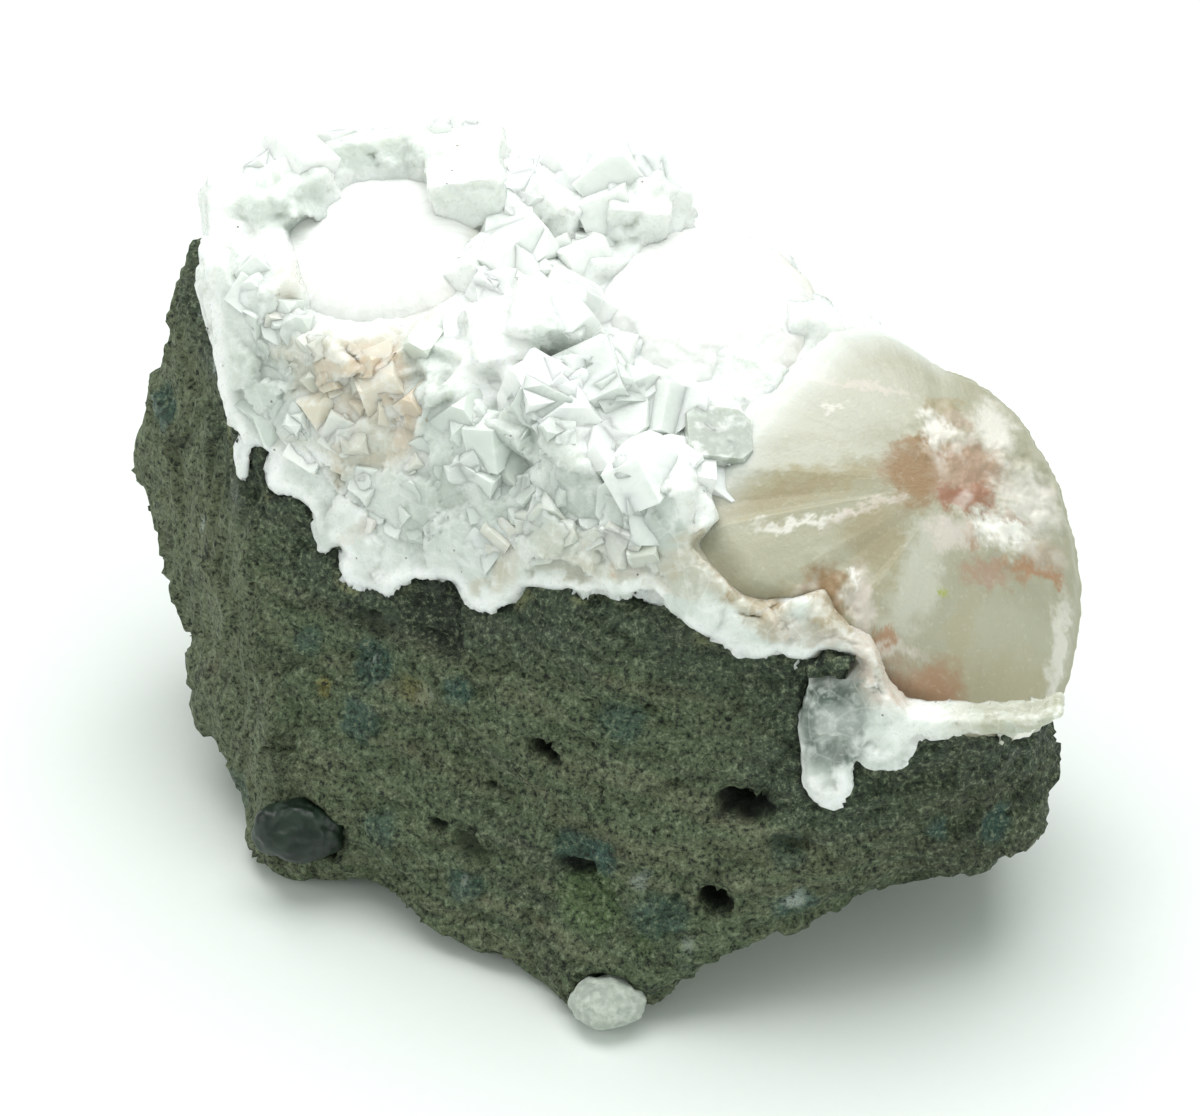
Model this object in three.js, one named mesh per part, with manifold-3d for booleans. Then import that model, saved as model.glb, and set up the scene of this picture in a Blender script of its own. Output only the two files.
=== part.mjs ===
// A hand specimen of apophyllite and stilbite on basalt, the kind that comes out of a cavity in
// old lava. A broken block of dark, vesicular basalt carries a crust of blocky clear crystals, two
// white balls of radiating fibres, and a broken cream fan. Rounded fillings of white and green
// minerals sit in holes of the basalt.
//
// Units are millimetres and +Z is up. The front, where the broken side of the crust shows, faces
// -Y. The origin is the middle of the bounding box's base, on the surface that the block stands on.

import * as THREE from "three";
import { ConvexGeometry } from "three/addons/geometries/ConvexGeometry.js";
import { ImprovedNoise } from "three/addons/math/ImprovedNoise.js";
import { mergeVertices } from "three/addons/utils/BufferGeometryUtils.js";
import Module from "manifold-3d";

const wasm = await Module();
wasm.setup();

// Gap between two minerals that touch, half of it taken from each side.
const SEAM_GAP = 0.3;

// From the frame that the sizes below are written in to the middle of the base.
const TO_ORIGIN = [0, 3.6, 0];

// Corners of the broken block, each a point where fracture faces meet.
const CORNER = {
  toe: [0.5, -36.6, 0],
  leftFoot: [-35.8, -17, 0],
  leftShoulder: [-35.3, 0.2, 43],
  frontBrow: [5.6, -22.5, 42.6],
  rightBrow: [28, -31.2, 32],
  lobeBrow: [26.3, -30.6, 32],
  lobeShoulder: [44.7, -22.4, 28],
  lobeToe: [44.1, -24.3, 12],
  leftRidge: [-50, 22.7, 25],
  leftRidgeFoot: [-49.6, 20, 19.5],
  backLeftTop: [-44.5, 19.5, 50.5],
  backCrest: [-31, 30, 58],
  backTop: [0, 25, 60],
  backBulge: [-12, 31, 24],
  rightBackTop: [17, 17, 58],
  rightTop: [48, -11.5, 46],
  rightBulge: [40, 6, 22],
  rightEnd: [47.2, -20, 38],
  leftHeel: [-26, 22, 0],
  backHeel: [20, 20, 0],
  rightHeel: [33, 6, 0],
  innerFoot: [20, -10, 0],
};

// The fracture faces, each through three corners.
const FRACTURES = [
  ["toe", "leftFoot", "leftShoulder"],
  ["toe", "frontBrow", "rightBrow"],
  ["lobeBrow", "lobeShoulder", "lobeToe"],
  ["leftFoot", "leftShoulder", "leftRidge"],
  ["leftShoulder", "leftRidge", "backLeftTop"],
  ["leftRidge", "backLeftTop", "backCrest"],
  ["leftRidge", "backCrest", "backBulge"],
  ["leftRidgeFoot", "leftFoot", "leftHeel"],
  ["backCrest", "backTop", "backBulge"],
  ["backTop", "rightBackTop", "backBulge"],
  ["rightBackTop", "rightTop", "rightBulge"],
  ["rightTop", "rightEnd", "lobeToe"],
  ["toe", "lobeToe", "innerFoot"],
  ["leftHeel", "backHeel", "backBulge"],
  ["backHeel", "rightHeel", "rightBulge"],
];
const BLOCK_MIDDLE = [0, -3, 32];
const BLOCK_TOP = 74;
const ABOVE_ALL = 94;
const BLOCK_BASE = -0.4;
const UNDER_GROUND = 20;
// The higher, the less the edges between fracture faces are worn round.
const EDGE_SHARPNESS = 55;
const BLOCK_DETAIL = 9;

// Hollows and swellings of the block's faces: where, how wide and how far in (or out, if negative).
const DENTS = [
  { at: [-24, -21, -1], width: 9, depth: 3.6 },
  { at: [-12, -28, -1], width: 6, depth: 2 },
  { at: [14, -33.6, 1.5], width: 7.5, depth: 5 },
  { at: [26, -30, 6], width: 9, depth: 5.4 },
  { at: [46, -22, 19.5], width: 3.6, depth: 3.4 },
  { at: [0.6, -36, 1.5], width: 5.5, depth: -2.6 },
];

// How rough the broken basalt is: height of the waves and their length.
const ROUGHNESS = [
  { height: 1.9, length: 14 },
  { height: 1.2, length: 6.5 },
];

// The crust's frame: its front edge runs from frontStart towards the right and the front.
const CRUST = {
  frontStart: [-35, 0.6],
  frontEnd: [28, -31],
  topHeight: 53.5,
  topSlopeBack: 0.27,
  topSlopeRight: -0.03,
  rightFallStart: 34,
  rightFall: 0.055,
  shoulderDrop: 6,
  shoulderStart: 8,
  shoulderWidth: 10,
  bedHeight: 46.7,
  bedSlopeBack: 0.27,
  bedFallStart: 22,
  bedFall: 0.03,
};

// Grid steps along the crust's front edge, and its rows counted back from that edge. The bed is
// finer near the front, where its side is seen.
const BED_GRID = { step: 3, rows: [-14, -6, -3, -0.8, 1.6, 6, 14, 68] };
const TOP_GRID = { step: 7.2, rows: [-14, -3, 3, 10, 20, 36, 68] };

// Rounded lobes where the crust's lining bulges down into the basalt: plan place, radius, depth.
const LOBES = [
  { x: -34, y: 0, radius: 4, depth: 3 },
  { x: -29, y: -4, radius: 4.4, depth: 4.5 },
  { x: -24.5, y: -9, radius: 3.6, depth: 10.5 },
  { x: -19.5, y: -11.8, radius: 3.4, depth: 8 },
  { x: -14.5, y: -13, radius: 3, depth: 4 },
  { x: -11, y: -15.5, radius: 2.8, depth: 6 },
  { x: 14, y: -26, radius: 3.2, depth: 1.8 },
  { x: 22.6, y: -31.8, radius: 4, depth: 13.5 },
  { x: 28.5, y: -30, radius: 3.2, depth: 6 },
  { x: 38, y: -26, radius: 9, depth: 4.2 },
];

// The crust is broken off short of the block's left and back edges. Its plan, seen from above.
const CRUST_PLAN = [
  [-34.6, -6],
  [-37.4, 8],
  [-38.6, 14],
  [-37, 20.5],
  [-28, 25],
  [-16, 27],
  [-8, 23.6],
  [0, 23.8],
  [8, 18.6],
  [18.4, 16.6],
  [21.6, 9],
  [29.6, 7],
  [35.6, 1.4],
  [42.6, -5.4],
  [47, -12],
  [60, -20],
  [60, -60],
  [-34.6, -60],
];

// How far crystals may stand out past the block's own faces.
const CRYSTAL_OVERHANG = 2.6;

// Share of a crystal's width that is cut off its corners.
const CORNER_CUT = 0.2;

// The large crystals that catch the eye, in millimetres over the plan and in degrees.
const LARGE_CRYSTALS = [
  { x: -10.6, y: 0.4, width: 7.6, height: 6.4, turn: 4, leanX: 38, leanY: -4, sink: -0.12 },
  { x: -15.6, y: 0.2, width: 4.6, height: 5, turn: 30, leanX: 20, leanY: -18, sink: 0 },
  { x: -10.2, y: -3.8, width: 4.6, height: 4.2, turn: 4, leanX: 62, leanY: -4, sink: 0.1 },
  { x: -5.8, y: -3.6, width: 5, height: 5, turn: 40, leanX: 12, leanY: 16, sink: 0.1 },
  { x: -1.8, y: -7.2, width: 8, height: 8, turn: 22, leanX: 30, leanY: 22, sink: 0 },
  { x: 1.6, y: 2.2, width: 6.5, height: 6, turn: 50, leanX: 10, leanY: -12 },
  { x: -3.2, y: 5.4, width: 6, height: 9, turn: 15, leanX: -25, leanY: 30 },
  { x: 4.4, y: -7.2, width: 7, height: 7, turn: 62, leanX: 26, leanY: -14, sink: 0.1 },
  { x: -14.8, y: -7.4, width: 7.4, height: 6.5, turn: 70, leanX: 26, leanY: -12, sink: -0.05 },
  { x: -12.6, y: -15.2, width: 7, height: 8, turn: 34, leanX: 50, leanY: 14, sink: -0.1 },
  { x: -2.6, y: -14.6, width: 7.4, height: 7.4, turn: 12, leanX: 34, leanY: -22, sink: -0.14 },
  { x: 5.4, y: -17.4, width: 8, height: 7.6, turn: 45, leanX: 30, leanY: 8, sink: -0.14 },
  { x: -6.6, y: -19.2, width: 5, height: 6, turn: 20, leanX: 52, leanY: -16, sink: -0.2 },
  { x: 11.4, y: -11.6, width: 6.5, height: 5.6, turn: 58, leanX: 24, leanY: 18 },
  { x: 9.2, y: -22.6, width: 5.4, height: 6, turn: 45, leanX: 52, leanY: 0, sink: -0.1 },
  { x: -19.6, y: 1.2, width: 6.5, height: 5.5, turn: 80, leanX: 16, leanY: -8 },
  { x: -26.4, y: -1.2, width: 6.6, height: 6, turn: 25, leanX: 24, leanY: -16, sink: 0 },
  { x: -21.4, y: -6.4, width: 6, height: 6, turn: 50, leanX: 34, leanY: 10, sink: -0.1 },
  { x: -31.4, y: 3.8, width: 6.5, height: 6, turn: 60, leanX: 22, leanY: -24, sink: 0.2 },
  { x: -33.4, y: 9.8, width: 9, height: 6.5, turn: 12, leanX: 12, leanY: -22, sink: 0.15 },
  { x: -32.2, y: 19.6, width: 9.5, height: 6, turn: 35, leanX: -10, leanY: -20, sink: 0 },
  { x: -23.4, y: 24.6, width: 7.5, height: 6, turn: 8, leanX: -24, leanY: -8, sink: 0 },
  { x: -14.8, y: 24.6, width: 9, height: 5.5, turn: 55, leanX: -20, leanY: 8, sink: 0 },
  { x: -7, y: 20.2, width: 8, height: 7, turn: 30, leanX: -14, leanY: 16 },
  { x: -8.8, y: 11.4, width: 7.5, height: 6.5, turn: 72, leanX: 6, leanY: 20 },
  { x: 0.4, y: 12.8, width: 6.5, height: 6, turn: 18, leanX: -8, leanY: 10 },
  { x: 3.6, y: 18.4, width: 7.5, height: 8.5, turn: 40, leanX: -30, leanY: 20, sink: 0 },
  { x: 15.6, y: -2.8, width: 6.5, height: 5, turn: 66, leanX: 10, leanY: 20 },
  { x: 19.6, y: 6.4, width: 6, height: 5.5, turn: 20, leanX: -12, leanY: 22 },
];

// Where the smaller crystals are tried, and how wide they are.
const DRUSE = {
  tries: 60,
  from: [-38, -26],
  size: [84, 56],
  smallest: 4,
  spread: 2.4,
  frontMargin: 3,
  rightLimit: 30,
};

// Balls of white fibres that sit in the crust, each flattened on the side that it faces.
const BALLS = [
  { centre: [-21.8, 14, 56.4], radius: 10, above: 0.46, below: 0.5, facing: [-0.05, -0.22, 0.97], seed: 2 },
  { centre: [10.8, 7.6, 53.6], radius: 10, above: 0.55, below: 0.42, facing: [0.1, -0.16, 0.98], seed: 5 },
];

// The broken fan of fibres at the right: its core, the way it faces, and round the circle, counted
// in degrees from the right, its reach, the radius that its face bends to, and its sheaves' lift.
const FAN = {
  core: [33.1, -13.4, 49.2],
  facing: [0.25, -0.5, 0.83],
  outline: [
    [0, 12.6],
    [32, 11.4],
    [86, 14],
    [106, 18.6],
    [119, 19.6],
    [137, 18.4],
    [162, 20.4],
    [180, 23],
    [189, 24.8],
    [199, 22.8],
    [209, 21.8],
    [214, 19.6],
    [222, 15.8],
    [245, 17],
    [265, 20.4],
    [283, 22],
    [298, 22.4],
    [309, 20.6],
    [321, 18.4],
    [345, 14],
  ],
  bend: [
    [0, 26],
    [90, 32],
    [150, 60],
    [200, 70],
    [240, 36],
    [290, 30],
    [330, 26],
  ],
  sheaves: [
    [0, -0.5],
    [30, 0.4],
    [92, 0.2],
    [98, 0.9],
    [150, 0.3],
    [178, 0.9],
    [187, -0.7],
    [191, -0.5],
    [193, 1],
    [212, 0.7],
    [219, -1],
    [232, -0.6],
    [236, 0.4],
    [256, -0.4],
    [262, 0.6],
    [318, 0.3],
    [324, -0.8],
  ],
  ribs: 16,
  ribHeight: 0.25,
  rimDrop: 1.4,
  steps: 56,
  rings: [0.22, 0.5, 0.8, 1],
  underside: [
    [0.97, 2.5],
    [0.7, 6],
  ],
  depth: 9,
  openAbove: 12,
};

// Faces round a ball and from pole to pole.
const BALL_FACES = [18, 9];

// Open gas holes in the front of the basalt: place across and up, size and depth.
const VESICLES = [
  { x: 13.8, z: 24.3, wide: 5.6, tall: 2.6, deep: 3.4 },
  { x: 10.8, z: 14, wide: 3.6, tall: 2.6, deep: 3 },
  { x: -1.5, z: 13.7, wide: 5.4, tall: 2, deep: 2.2 },
  { x: -5.3, z: 24.6, wide: 3.4, tall: 2, deep: 2 },
  { x: -16.3, z: 9.2, wide: 2.2, tall: 2, deep: 2 },
  { x: 18.1, z: 20.4, wide: 3.4, tall: 3, deep: 1.4 },
  { x: 38.8, z: 17.7, wide: 3.6, tall: 3, deep: 1.8 },
];

// Fillings: a dark green one low on the left, and a white one in the block's front toe.
const NODULE = { x: -30.1, z: 8.3, wide: 9.4, tall: 7, deep: 2.6, seed: 3, detail: 2 };
const TOE_FILLING = { x: 0.7, z: 2.9, wide: 7.4, tall: 4.6, deep: 3, seed: 8, detail: 2 };

const noise = new ImprovedNoise();

function ripple(x, y, z, length, seed = 0) {
  return noise.noise(x / length + seed, y / length - seed, z / length + seed / 2);
}

function vector(values) {
  return new THREE.Vector3(...values);
}

// Solids and booleans

function solidOf(geometry) {
  const bare = geometry.clone();
  for (const name of Object.keys(bare.attributes)) {
    if (name !== "position") bare.deleteAttribute(name);
  }
  const merged = mergeVertices(bare, 1e-4);
  return new wasm.Manifold(
    new wasm.Mesh({
      numProp: 3,
      vertProperties: new Float32Array(merged.attributes.position.array),
      triVerts: new Uint32Array(merged.index.array),
    }),
  );
}

function geometryOf(solid) {
  const mesh = solid.getMesh();
  const geometry = new THREE.BufferGeometry();
  geometry.setAttribute("position", new THREE.BufferAttribute(new Float32Array(mesh.vertProperties), 3));
  geometry.setIndex(new THREE.BufferAttribute(new Uint32Array(mesh.triVerts), 1));
  return geometry.toNonIndexed();
}

function largestBody(solid) {
  return solid.decompose().reduce((best, body) => (body.volume() > best.volume() ? body : best));
}

// The broken block

function fracturePlane(names) {
  const [a, b, c] = names.map((name) => vector(CORNER[name]));
  const plane = new THREE.Plane().setFromCoplanarPoints(a, b, c);
  return plane.distanceToPoint(vector(BLOCK_MIDDLE)) > 0 ? plane.negate() : plane;
}

const BLOCK_PLANES = [
  ...FRACTURES.map(fracturePlane),
  new THREE.Plane(new THREE.Vector3(0, 0, 1), -BLOCK_TOP),
  new THREE.Plane(new THREE.Vector3(0, 0, -1), BLOCK_BASE),
];

// Distance from the block's middle to its surface along a direction: the nearest of the fracture
// planes, with worn edges, less the dents and the roughness.
function blockRadius(direction, grow) {
  const middle = vector(BLOCK_MIDDLE);
  let inverse = 0;
  for (const plane of BLOCK_PLANES) {
    const facing = plane.normal.dot(direction);
    if (facing <= 0) continue;
    const reach = (-plane.distanceToPoint(middle) + grow) / facing;
    inverse += reach ** -EDGE_SHARPNESS;
  }
  const radius = inverse ** (-1 / EDGE_SHARPNESS);
  const point = direction.clone().multiplyScalar(radius).add(middle);
  let change = 0;
  for (const { at, width, depth } of DENTS) {
    change -= depth * Math.exp(-point.distanceToSquared(vector(at)) / width ** 2);
  }
  for (const { height, length } of ROUGHNESS) {
    change += height * ripple(point.x, point.y, point.z, length, length);
  }
  return radius + change;
}

function blockSolid(grow = 0) {
  const geometry = new THREE.IcosahedronGeometry(1, BLOCK_DETAIL);
  const position = geometry.attributes.position;
  const direction = new THREE.Vector3();
  const middle = vector(BLOCK_MIDDLE);
  for (let i = 0; i < position.count; i++) {
    direction.fromBufferAttribute(position, i).normalize();
    const point = direction.clone().multiplyScalar(blockRadius(direction, grow)).add(middle);
    position.setXYZ(i, point.x, point.y, point.z);
  }
  return solidOf(geometry);
}

// The crust's upper and lower surfaces, as heights over the plan

const FRONT = new THREE.Vector2(
  CRUST.frontEnd[0] - CRUST.frontStart[0],
  CRUST.frontEnd[1] - CRUST.frontStart[1],
).normalize();

// Distance behind the crust's front edge.
function behindFront(x, y) {
  return -FRONT.y * (x - CRUST.frontStart[0]) + FRONT.x * (y - CRUST.frontStart[1]);
}

function crustTop(x, y) {
  const right = Math.max(0, x - CRUST.rightFallStart);
  const edge = Math.max(0, (CRUST.shoulderStart - behindFront(x, y)) / CRUST.shoulderWidth);
  return (
    CRUST.topHeight +
    CRUST.topSlopeBack * y +
    CRUST.topSlopeRight * x -
    CRUST.rightFall * right ** 2 -
    CRUST.shoulderDrop * edge ** 2 +
    1.1 * ripple(x, y, 0, 9, 3)
  );
}

function crustBed(x, y) {
  const right = Math.max(0, x - CRUST.bedFallStart);
  let height = CRUST.bedHeight + CRUST.bedSlopeBack * y - CRUST.bedFall * right ** 2;
  for (const lobe of LOBES) {
    const away = (x - lobe.x) ** 2 + (y - lobe.y) ** 2;
    height -= lobe.depth * Math.exp(-away / lobe.radius ** 2);
  }
  return height + 0.7 * ripple(x, y, 0, 6, 7);
}

// A closed slab between two heights, on a grid that runs along the front edge and back from it.
function slabSolid(bottomAt, topAt, { step, rows }) {
  const along = { from: -18, to: 98 };
  const columns = Math.ceil((along.to - along.from) / step);
  const points = [];
  for (const heightAt of [bottomAt, topAt]) {
    for (const row of rows) {
      for (let i = 0; i <= columns; i++) {
        const u = along.from + i * step;
        const x = CRUST.frontStart[0] + FRONT.x * u - FRONT.y * row;
        const y = CRUST.frontStart[1] + FRONT.y * u + FRONT.x * row;
        points.push(x, y, heightAt(x, y));
      }
    }
  }
  const width = columns + 1;
  const layer = width * rows.length;
  const index = [];
  const quad = (a, b, c, d) => index.push(a, b, c, a, c, d);
  for (let j = 0; j < rows.length - 1; j++) {
    for (let i = 0; i < columns; i++) {
      const k = j * width + i;
      quad(k, k + width, k + width + 1, k + 1);
      quad(layer + k, layer + k + 1, layer + k + width + 1, layer + k + width);
    }
  }
  const last = (rows.length - 1) * width;
  for (let i = 0; i < columns; i++) {
    quad(i, i + 1, layer + i + 1, layer + i);
    quad(last + i + 1, last + i, layer + last + i, layer + last + i + 1);
  }
  for (let j = 0; j < rows.length - 1; j++) {
    const k = j * width;
    quad(k + width, k, layer + k, layer + k + width);
    quad(k + columns, k + width + columns, layer + k + width + columns, layer + k + columns);
  }
  const geometry = new THREE.BufferGeometry();
  geometry.setAttribute("position", new THREE.Float32BufferAttribute(points, 3));
  geometry.setIndex(index);
  return solidOf(geometry);
}

// Crystals

// A square crystal with the corners of its free end cut off, as apophyllite grows. Its buried end
// keeps plain corners.
function crystalGeometry(width, height, cut) {
  const points = [];
  for (const sx of [-1, 1]) {
    for (const sy of [-1, 1]) {
      const edge = new THREE.Vector3((sx * width) / 2, (sy * width) / 2, height / 2);
      points.push(edge.clone().setZ(-height / 2));
      points.push(edge.clone().add(vector([-sx * cut, 0, 0])));
      points.push(edge.clone().add(vector([0, -sy * cut, 0])));
      points.push(edge.clone().add(vector([0, 0, -1.3 * cut])));
    }
  }
  return new ConvexGeometry(points);
}

function crystalSolid({ x, y, width, height, turn, leanX, leanY, sink = 0.2 }) {
  const geometry = crystalGeometry(width, height, width * CORNER_CUT);
  const lean = new THREE.Euler(toRadians(leanX), toRadians(leanY), toRadians(turn), "XYZ");
  geometry.applyMatrix4(new THREE.Matrix4().makeRotationFromEuler(lean));
  geometry.translate(x, y, crustTop(x, y) - sink * width);
  return solidOf(geometry);
}

function toRadians(degrees) {
  return THREE.MathUtils.degToRad(degrees);
}

// The part of a number after the point, which spreads multiples of an irrational step evenly.
function spread(count, step) {
  return (0.5 + count * step) % 1;
}

// Smaller crystals between the large ones, spread evenly over the crust where nothing else sits.
function druseCrystals() {
  const crystals = [];
  for (let i = 0; i < DRUSE.tries; i++) {
    const x = DRUSE.from[0] + DRUSE.size[0] * spread(i, 0.7548776662);
    const y = DRUSE.from[1] + DRUSE.size[1] * spread(i, 0.569840291);
    const width = DRUSE.smallest + DRUSE.spread * spread(i, 0.6180339887) ** 2;
    const back = behindFront(x, y);
    const crowded = [...LARGE_CRYSTALS, ...crystals].some(
      (other) => Math.hypot(other.x - x, other.y - y) < 0.42 * (other.width + width),
    );
    const onBall = BALLS.some(
      ({ centre, radius }) => Math.hypot(centre[0] - x, centre[1] - y) < radius + 0.1 * width,
    );
    const onFan = Math.hypot((x - FAN.core[0]) / 21, (y - FAN.core[1]) / 17) < 1;
    if (crowded || onBall || onFan || back < DRUSE.frontMargin || x > DRUSE.rightLimit) continue;
    crystals.push({
      x,
      y,
      width,
      height: width * (0.8 + 0.5 * spread(i, 0.3247179572)),
      turn: 90 * spread(i, 0.4142135624),
      leanX: 64 * (spread(i, 0.2360679775) - 0.35),
      leanY: 64 * (spread(i, 0.7320508076) - 0.5),
    });
  }
  return crystals;
}

// The fan

// Reads a list of [angle in degrees, value] round the circle, with straight lines between.
function aroundCircle(list, angle) {
  const next = Math.max(0, list.findIndex(([at]) => at > angle));
  const [fromAngle, fromValue] = list.at(next - 1);
  const [toAngle, toValue] = list[next];
  const turned = (angle - fromAngle + 360) % 360;
  const span = (toAngle - fromAngle + 360) % 360;
  return fromValue + ((toValue - fromValue) * turned) / span;
}

// How far the fan's face has bent down at a share of its reach.
function fanDrop(angle, share) {
  const radius = aroundCircle(FAN.outline, angle) * share;
  return radius ** 2 / (2 * aroundCircle(FAN.bend, angle));
}

function fanFace(angle, share) {
  const { smoothstep } = THREE.MathUtils;
  const sheaf = aroundCircle(FAN.sheaves, angle) * smoothstep(share, 0.15, 0.8);
  const rib = FAN.ribHeight * Math.cos(toRadians(angle * FAN.ribs)) * share;
  const rim = FAN.rimDrop * smoothstep(share, 0.86, 1);
  return sheaf + rib - rim - fanDrop(angle, share);
}

// A point of the fan, by its angle and its share of the reach there, at a height over the core.
function fanPoint(angle, share, height, grow) {
  const facing = vector(FAN.facing).normalize();
  const right = new THREE.Vector3(1, 0, 0).projectOnPlane(facing).normalize();
  const up = facing.clone().cross(right);
  const radius = (aroundCircle(FAN.outline, angle) + grow) * share;
  return vector(FAN.core)
    .addScaledVector(right, radius * Math.cos(toRadians(angle)))
    .addScaledVector(up, radius * Math.sin(toRadians(angle)))
    .addScaledVector(facing, height);
}

// A dish closed at top and bottom, from rings that each give a share of the reach and a height.
function dishSolid(rings, topHeight, bottomHeight, grow) {
  const points = [];
  for (const { share, height } of rings) {
    for (let i = 0; i < FAN.steps; i++) {
      const angle = (360 * i) / FAN.steps;
      points.push(fanPoint(angle, share, height(angle, share), grow));
    }
  }
  const index = [];
  for (let j = 0; j < rings.length - 1; j++) {
    for (let i = 0; i < FAN.steps; i++) {
      const a = j * FAN.steps + i;
      const b = j * FAN.steps + ((i + 1) % FAN.steps);
      index.push(a, a + FAN.steps, b, b, a + FAN.steps, b + FAN.steps);
    }
  }
  const top = points.push(fanPoint(0, 0, topHeight, grow)) - 1;
  const bottom = points.push(fanPoint(0, 0, bottomHeight, grow)) - 1;
  const last = (rings.length - 1) * FAN.steps;
  for (let i = 0; i < FAN.steps; i++) {
    const next = (i + 1) % FAN.steps;
    index.push(top, i, next);
    index.push(bottom, last + next, last + i);
  }
  const geometry = new THREE.BufferGeometry().setFromPoints(points);
  geometry.setIndex(index);
  return solidOf(geometry);
}

// The buried underside of the fan, below its bent face.
function undersideRings(grow) {
  return FAN.underside.map(([share, depth]) => ({
    share,
    height: (angle) => -fanDrop(angle, share) - depth - grow,
  }));
}

function fanSolid() {
  const face = FAN.rings.map((share) => ({ share, height: fanFace }));
  return dishSolid([...face, ...undersideRings(0)], 0, -FAN.depth, 0);
}

// The room that the fan takes out of the crust and the basalt, open above it.
function fanPocket() {
  const { openAbove } = FAN;
  const wall = [openAbove, 0].map((above) => ({
    share: 1,
    height: (angle) => fanFace(angle, 1) + above,
  }));
  return dishSolid([...wall, ...undersideRings(SEAM_GAP)], openAbove, -FAN.depth - SEAM_GAP, SEAM_GAP);
}

// Balls of fibres and fillings of holes

function ballSolid({ centre, radius, above, below, facing, seed }, grow = 0) {
  const geometry = new THREE.SphereGeometry(1, ...BALL_FACES);
  const position = geometry.attributes.position;
  const point = new THREE.Vector3();
  const turn = new THREE.Quaternion().setFromUnitVectors(
    new THREE.Vector3(0, 1, 0),
    vector(facing).normalize(),
  );
  for (let i = 0; i < position.count; i++) {
    point.fromBufferAttribute(position, i);
    const wide = radius + grow + 0.35 * ripple(point.x, point.y, point.z, 0.6, seed);
    const tall = point.y > 0 ? above * (1 - 0.25 * point.y ** 4) : below;
    point.set(point.x * wide, point.y * wide * tall, point.z * wide).applyQuaternion(turn);
    position.setXYZ(i, point.x + centre[0], point.y + centre[1], point.z + centre[2]);
  }
  return solidOf(geometry);
}

// The front of the block is three planes: how far forward it comes at a place.
const FRONT_PLANES = BLOCK_PLANES.slice(0, 3);

function frontFace(x, z) {
  return Math.max(
    ...FRONT_PLANES.map(({ normal, constant }) => -(normal.x * x + normal.z * z + constant) / normal.y),
  );
}

function fillingSolid({ x, z, wide, tall, deep, seed = 1, detail = 1 }, grow = 0) {
  const geometry = new THREE.IcosahedronGeometry(1, detail);
  const position = geometry.attributes.position;
  const point = new THREE.Vector3();
  for (let i = 0; i < position.count; i++) {
    point.fromBufferAttribute(position, i).normalize();
    const lump = 1 + 0.16 * ripple(point.x, point.y, point.z, 0.8, seed);
    position.setXYZ(
      i,
      x + point.x * (wide / 2 * lump + grow),
      frontFace(x, z) + point.y * (deep * lump + grow),
      z + point.z * (tall / 2 * lump + grow),
    );
  }
  return solidOf(geometry);
}

// Broken outline of the crust seen from above, where it stops short of the block's edge
function crustPlanSolid() {
  const outline = new THREE.Shape(CRUST_PLAN.map(([x, y]) => new THREE.Vector2(x, y)));
  return solidOf(new THREE.ExtrudeGeometry(outline, { depth: ABOVE_ALL, bevelEnabled: false }));
}

function union(solids) {
  return solids.reduce((all, solid) => all.add(solid));
}

// The block is broken off flat where it stands.
function aboveGround(solid) {
  const ground = new THREE.BoxGeometry(200, 200, 2 * UNDER_GROUND).translate(0, 0, -UNDER_GROUND);
  return solid.subtract(solidOf(ground));
}

function aboveBed(gap) {
  return slabSolid((x, y) => crustBed(x, y) + gap, () => ABOVE_ALL, BED_GRID);
}

const block = aboveGround(blockSolid());
const crustSpace = aboveBed(SEAM_GAP / 2);
const belowTop = slabSolid(() => 0, crustTop, TOP_GRID);
const lining = block.intersect(crustSpace).intersect(belowTop);

const crystals = union([...LARGE_CRYSTALS, ...druseCrystals()].map(crystalSolid));
const crystalSpace = blockSolid(CRYSTAL_OVERHANG).intersect(crustSpace).intersect(crustPlanSolid());
const [upperBall, secondBall] = BALLS.map((ball) => ballSolid(ball));

const crust = largestBody(
  union([lining.intersect(crustPlanSolid()), crystals.intersect(crystalSpace)])
    .subtract(fanPocket())
    .subtract(union(BALLS.map((ball) => ballSolid(ball, SEAM_GAP)))),
);

const pits = union([
  ...VESICLES.map((hole) => fillingSolid(hole)),
  fillingSolid(NODULE, SEAM_GAP),
  fillingSolid(TOE_FILLING, SEAM_GAP),
]);
const basalt = largestBody(block.subtract(aboveBed(-SEAM_GAP / 2)).subtract(pits).subtract(fanPocket()));

// The specimen is moved so that the origin is under the middle of its bounding box.
const group = new THREE.Group();
const specimen = new THREE.Group();
specimen.position.set(...TO_ORIGIN);
group.add(specimen);

function addPiece(name, solid, colour, roughness) {
  const material = new THREE.MeshStandardMaterial({ color: colour, roughness, metalness: 0 });
  const mesh = new THREE.Mesh(geometryOf(solid), material);
  mesh.name = name;
  specimen.add(mesh);
}

addPiece("basalt_matrix", basalt, 0x4a4a3c, 0.95);
addPiece("apophyllite_crust", crust, 0xe9eee9, 0.3);
addPiece("stilbite_fan", fanSolid(), 0xe6e2c8, 0.55);
addPiece("upper_ball", upperBall, 0xf8f6f2, 0.7);
addPiece("second_ball", largestBody(secondBall.subtract(fanPocket())), 0xfbfbf9, 0.7);
addPiece("celadonite_nodule", fillingSolid(NODULE), 0x2f4a3c, 0.35);
addPiece("toe_filling", fillingSolid(TOE_FILLING), 0xf1f0e8, 0.8);

export default group;
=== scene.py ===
# %% [markdown]
# # Apophyllite and stilbite on basalt
#
# A hand specimen as it comes out of a hollow in old lava: a broken block of dark basalt with a
# crust of blocky, milky apophyllite crystals, two white balls of fibres, a broken fan of peach
# stilbite, a green filling and a white one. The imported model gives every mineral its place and
# rough form, in one piece of rock that doesn't move. This file gives them their surfaces.

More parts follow.
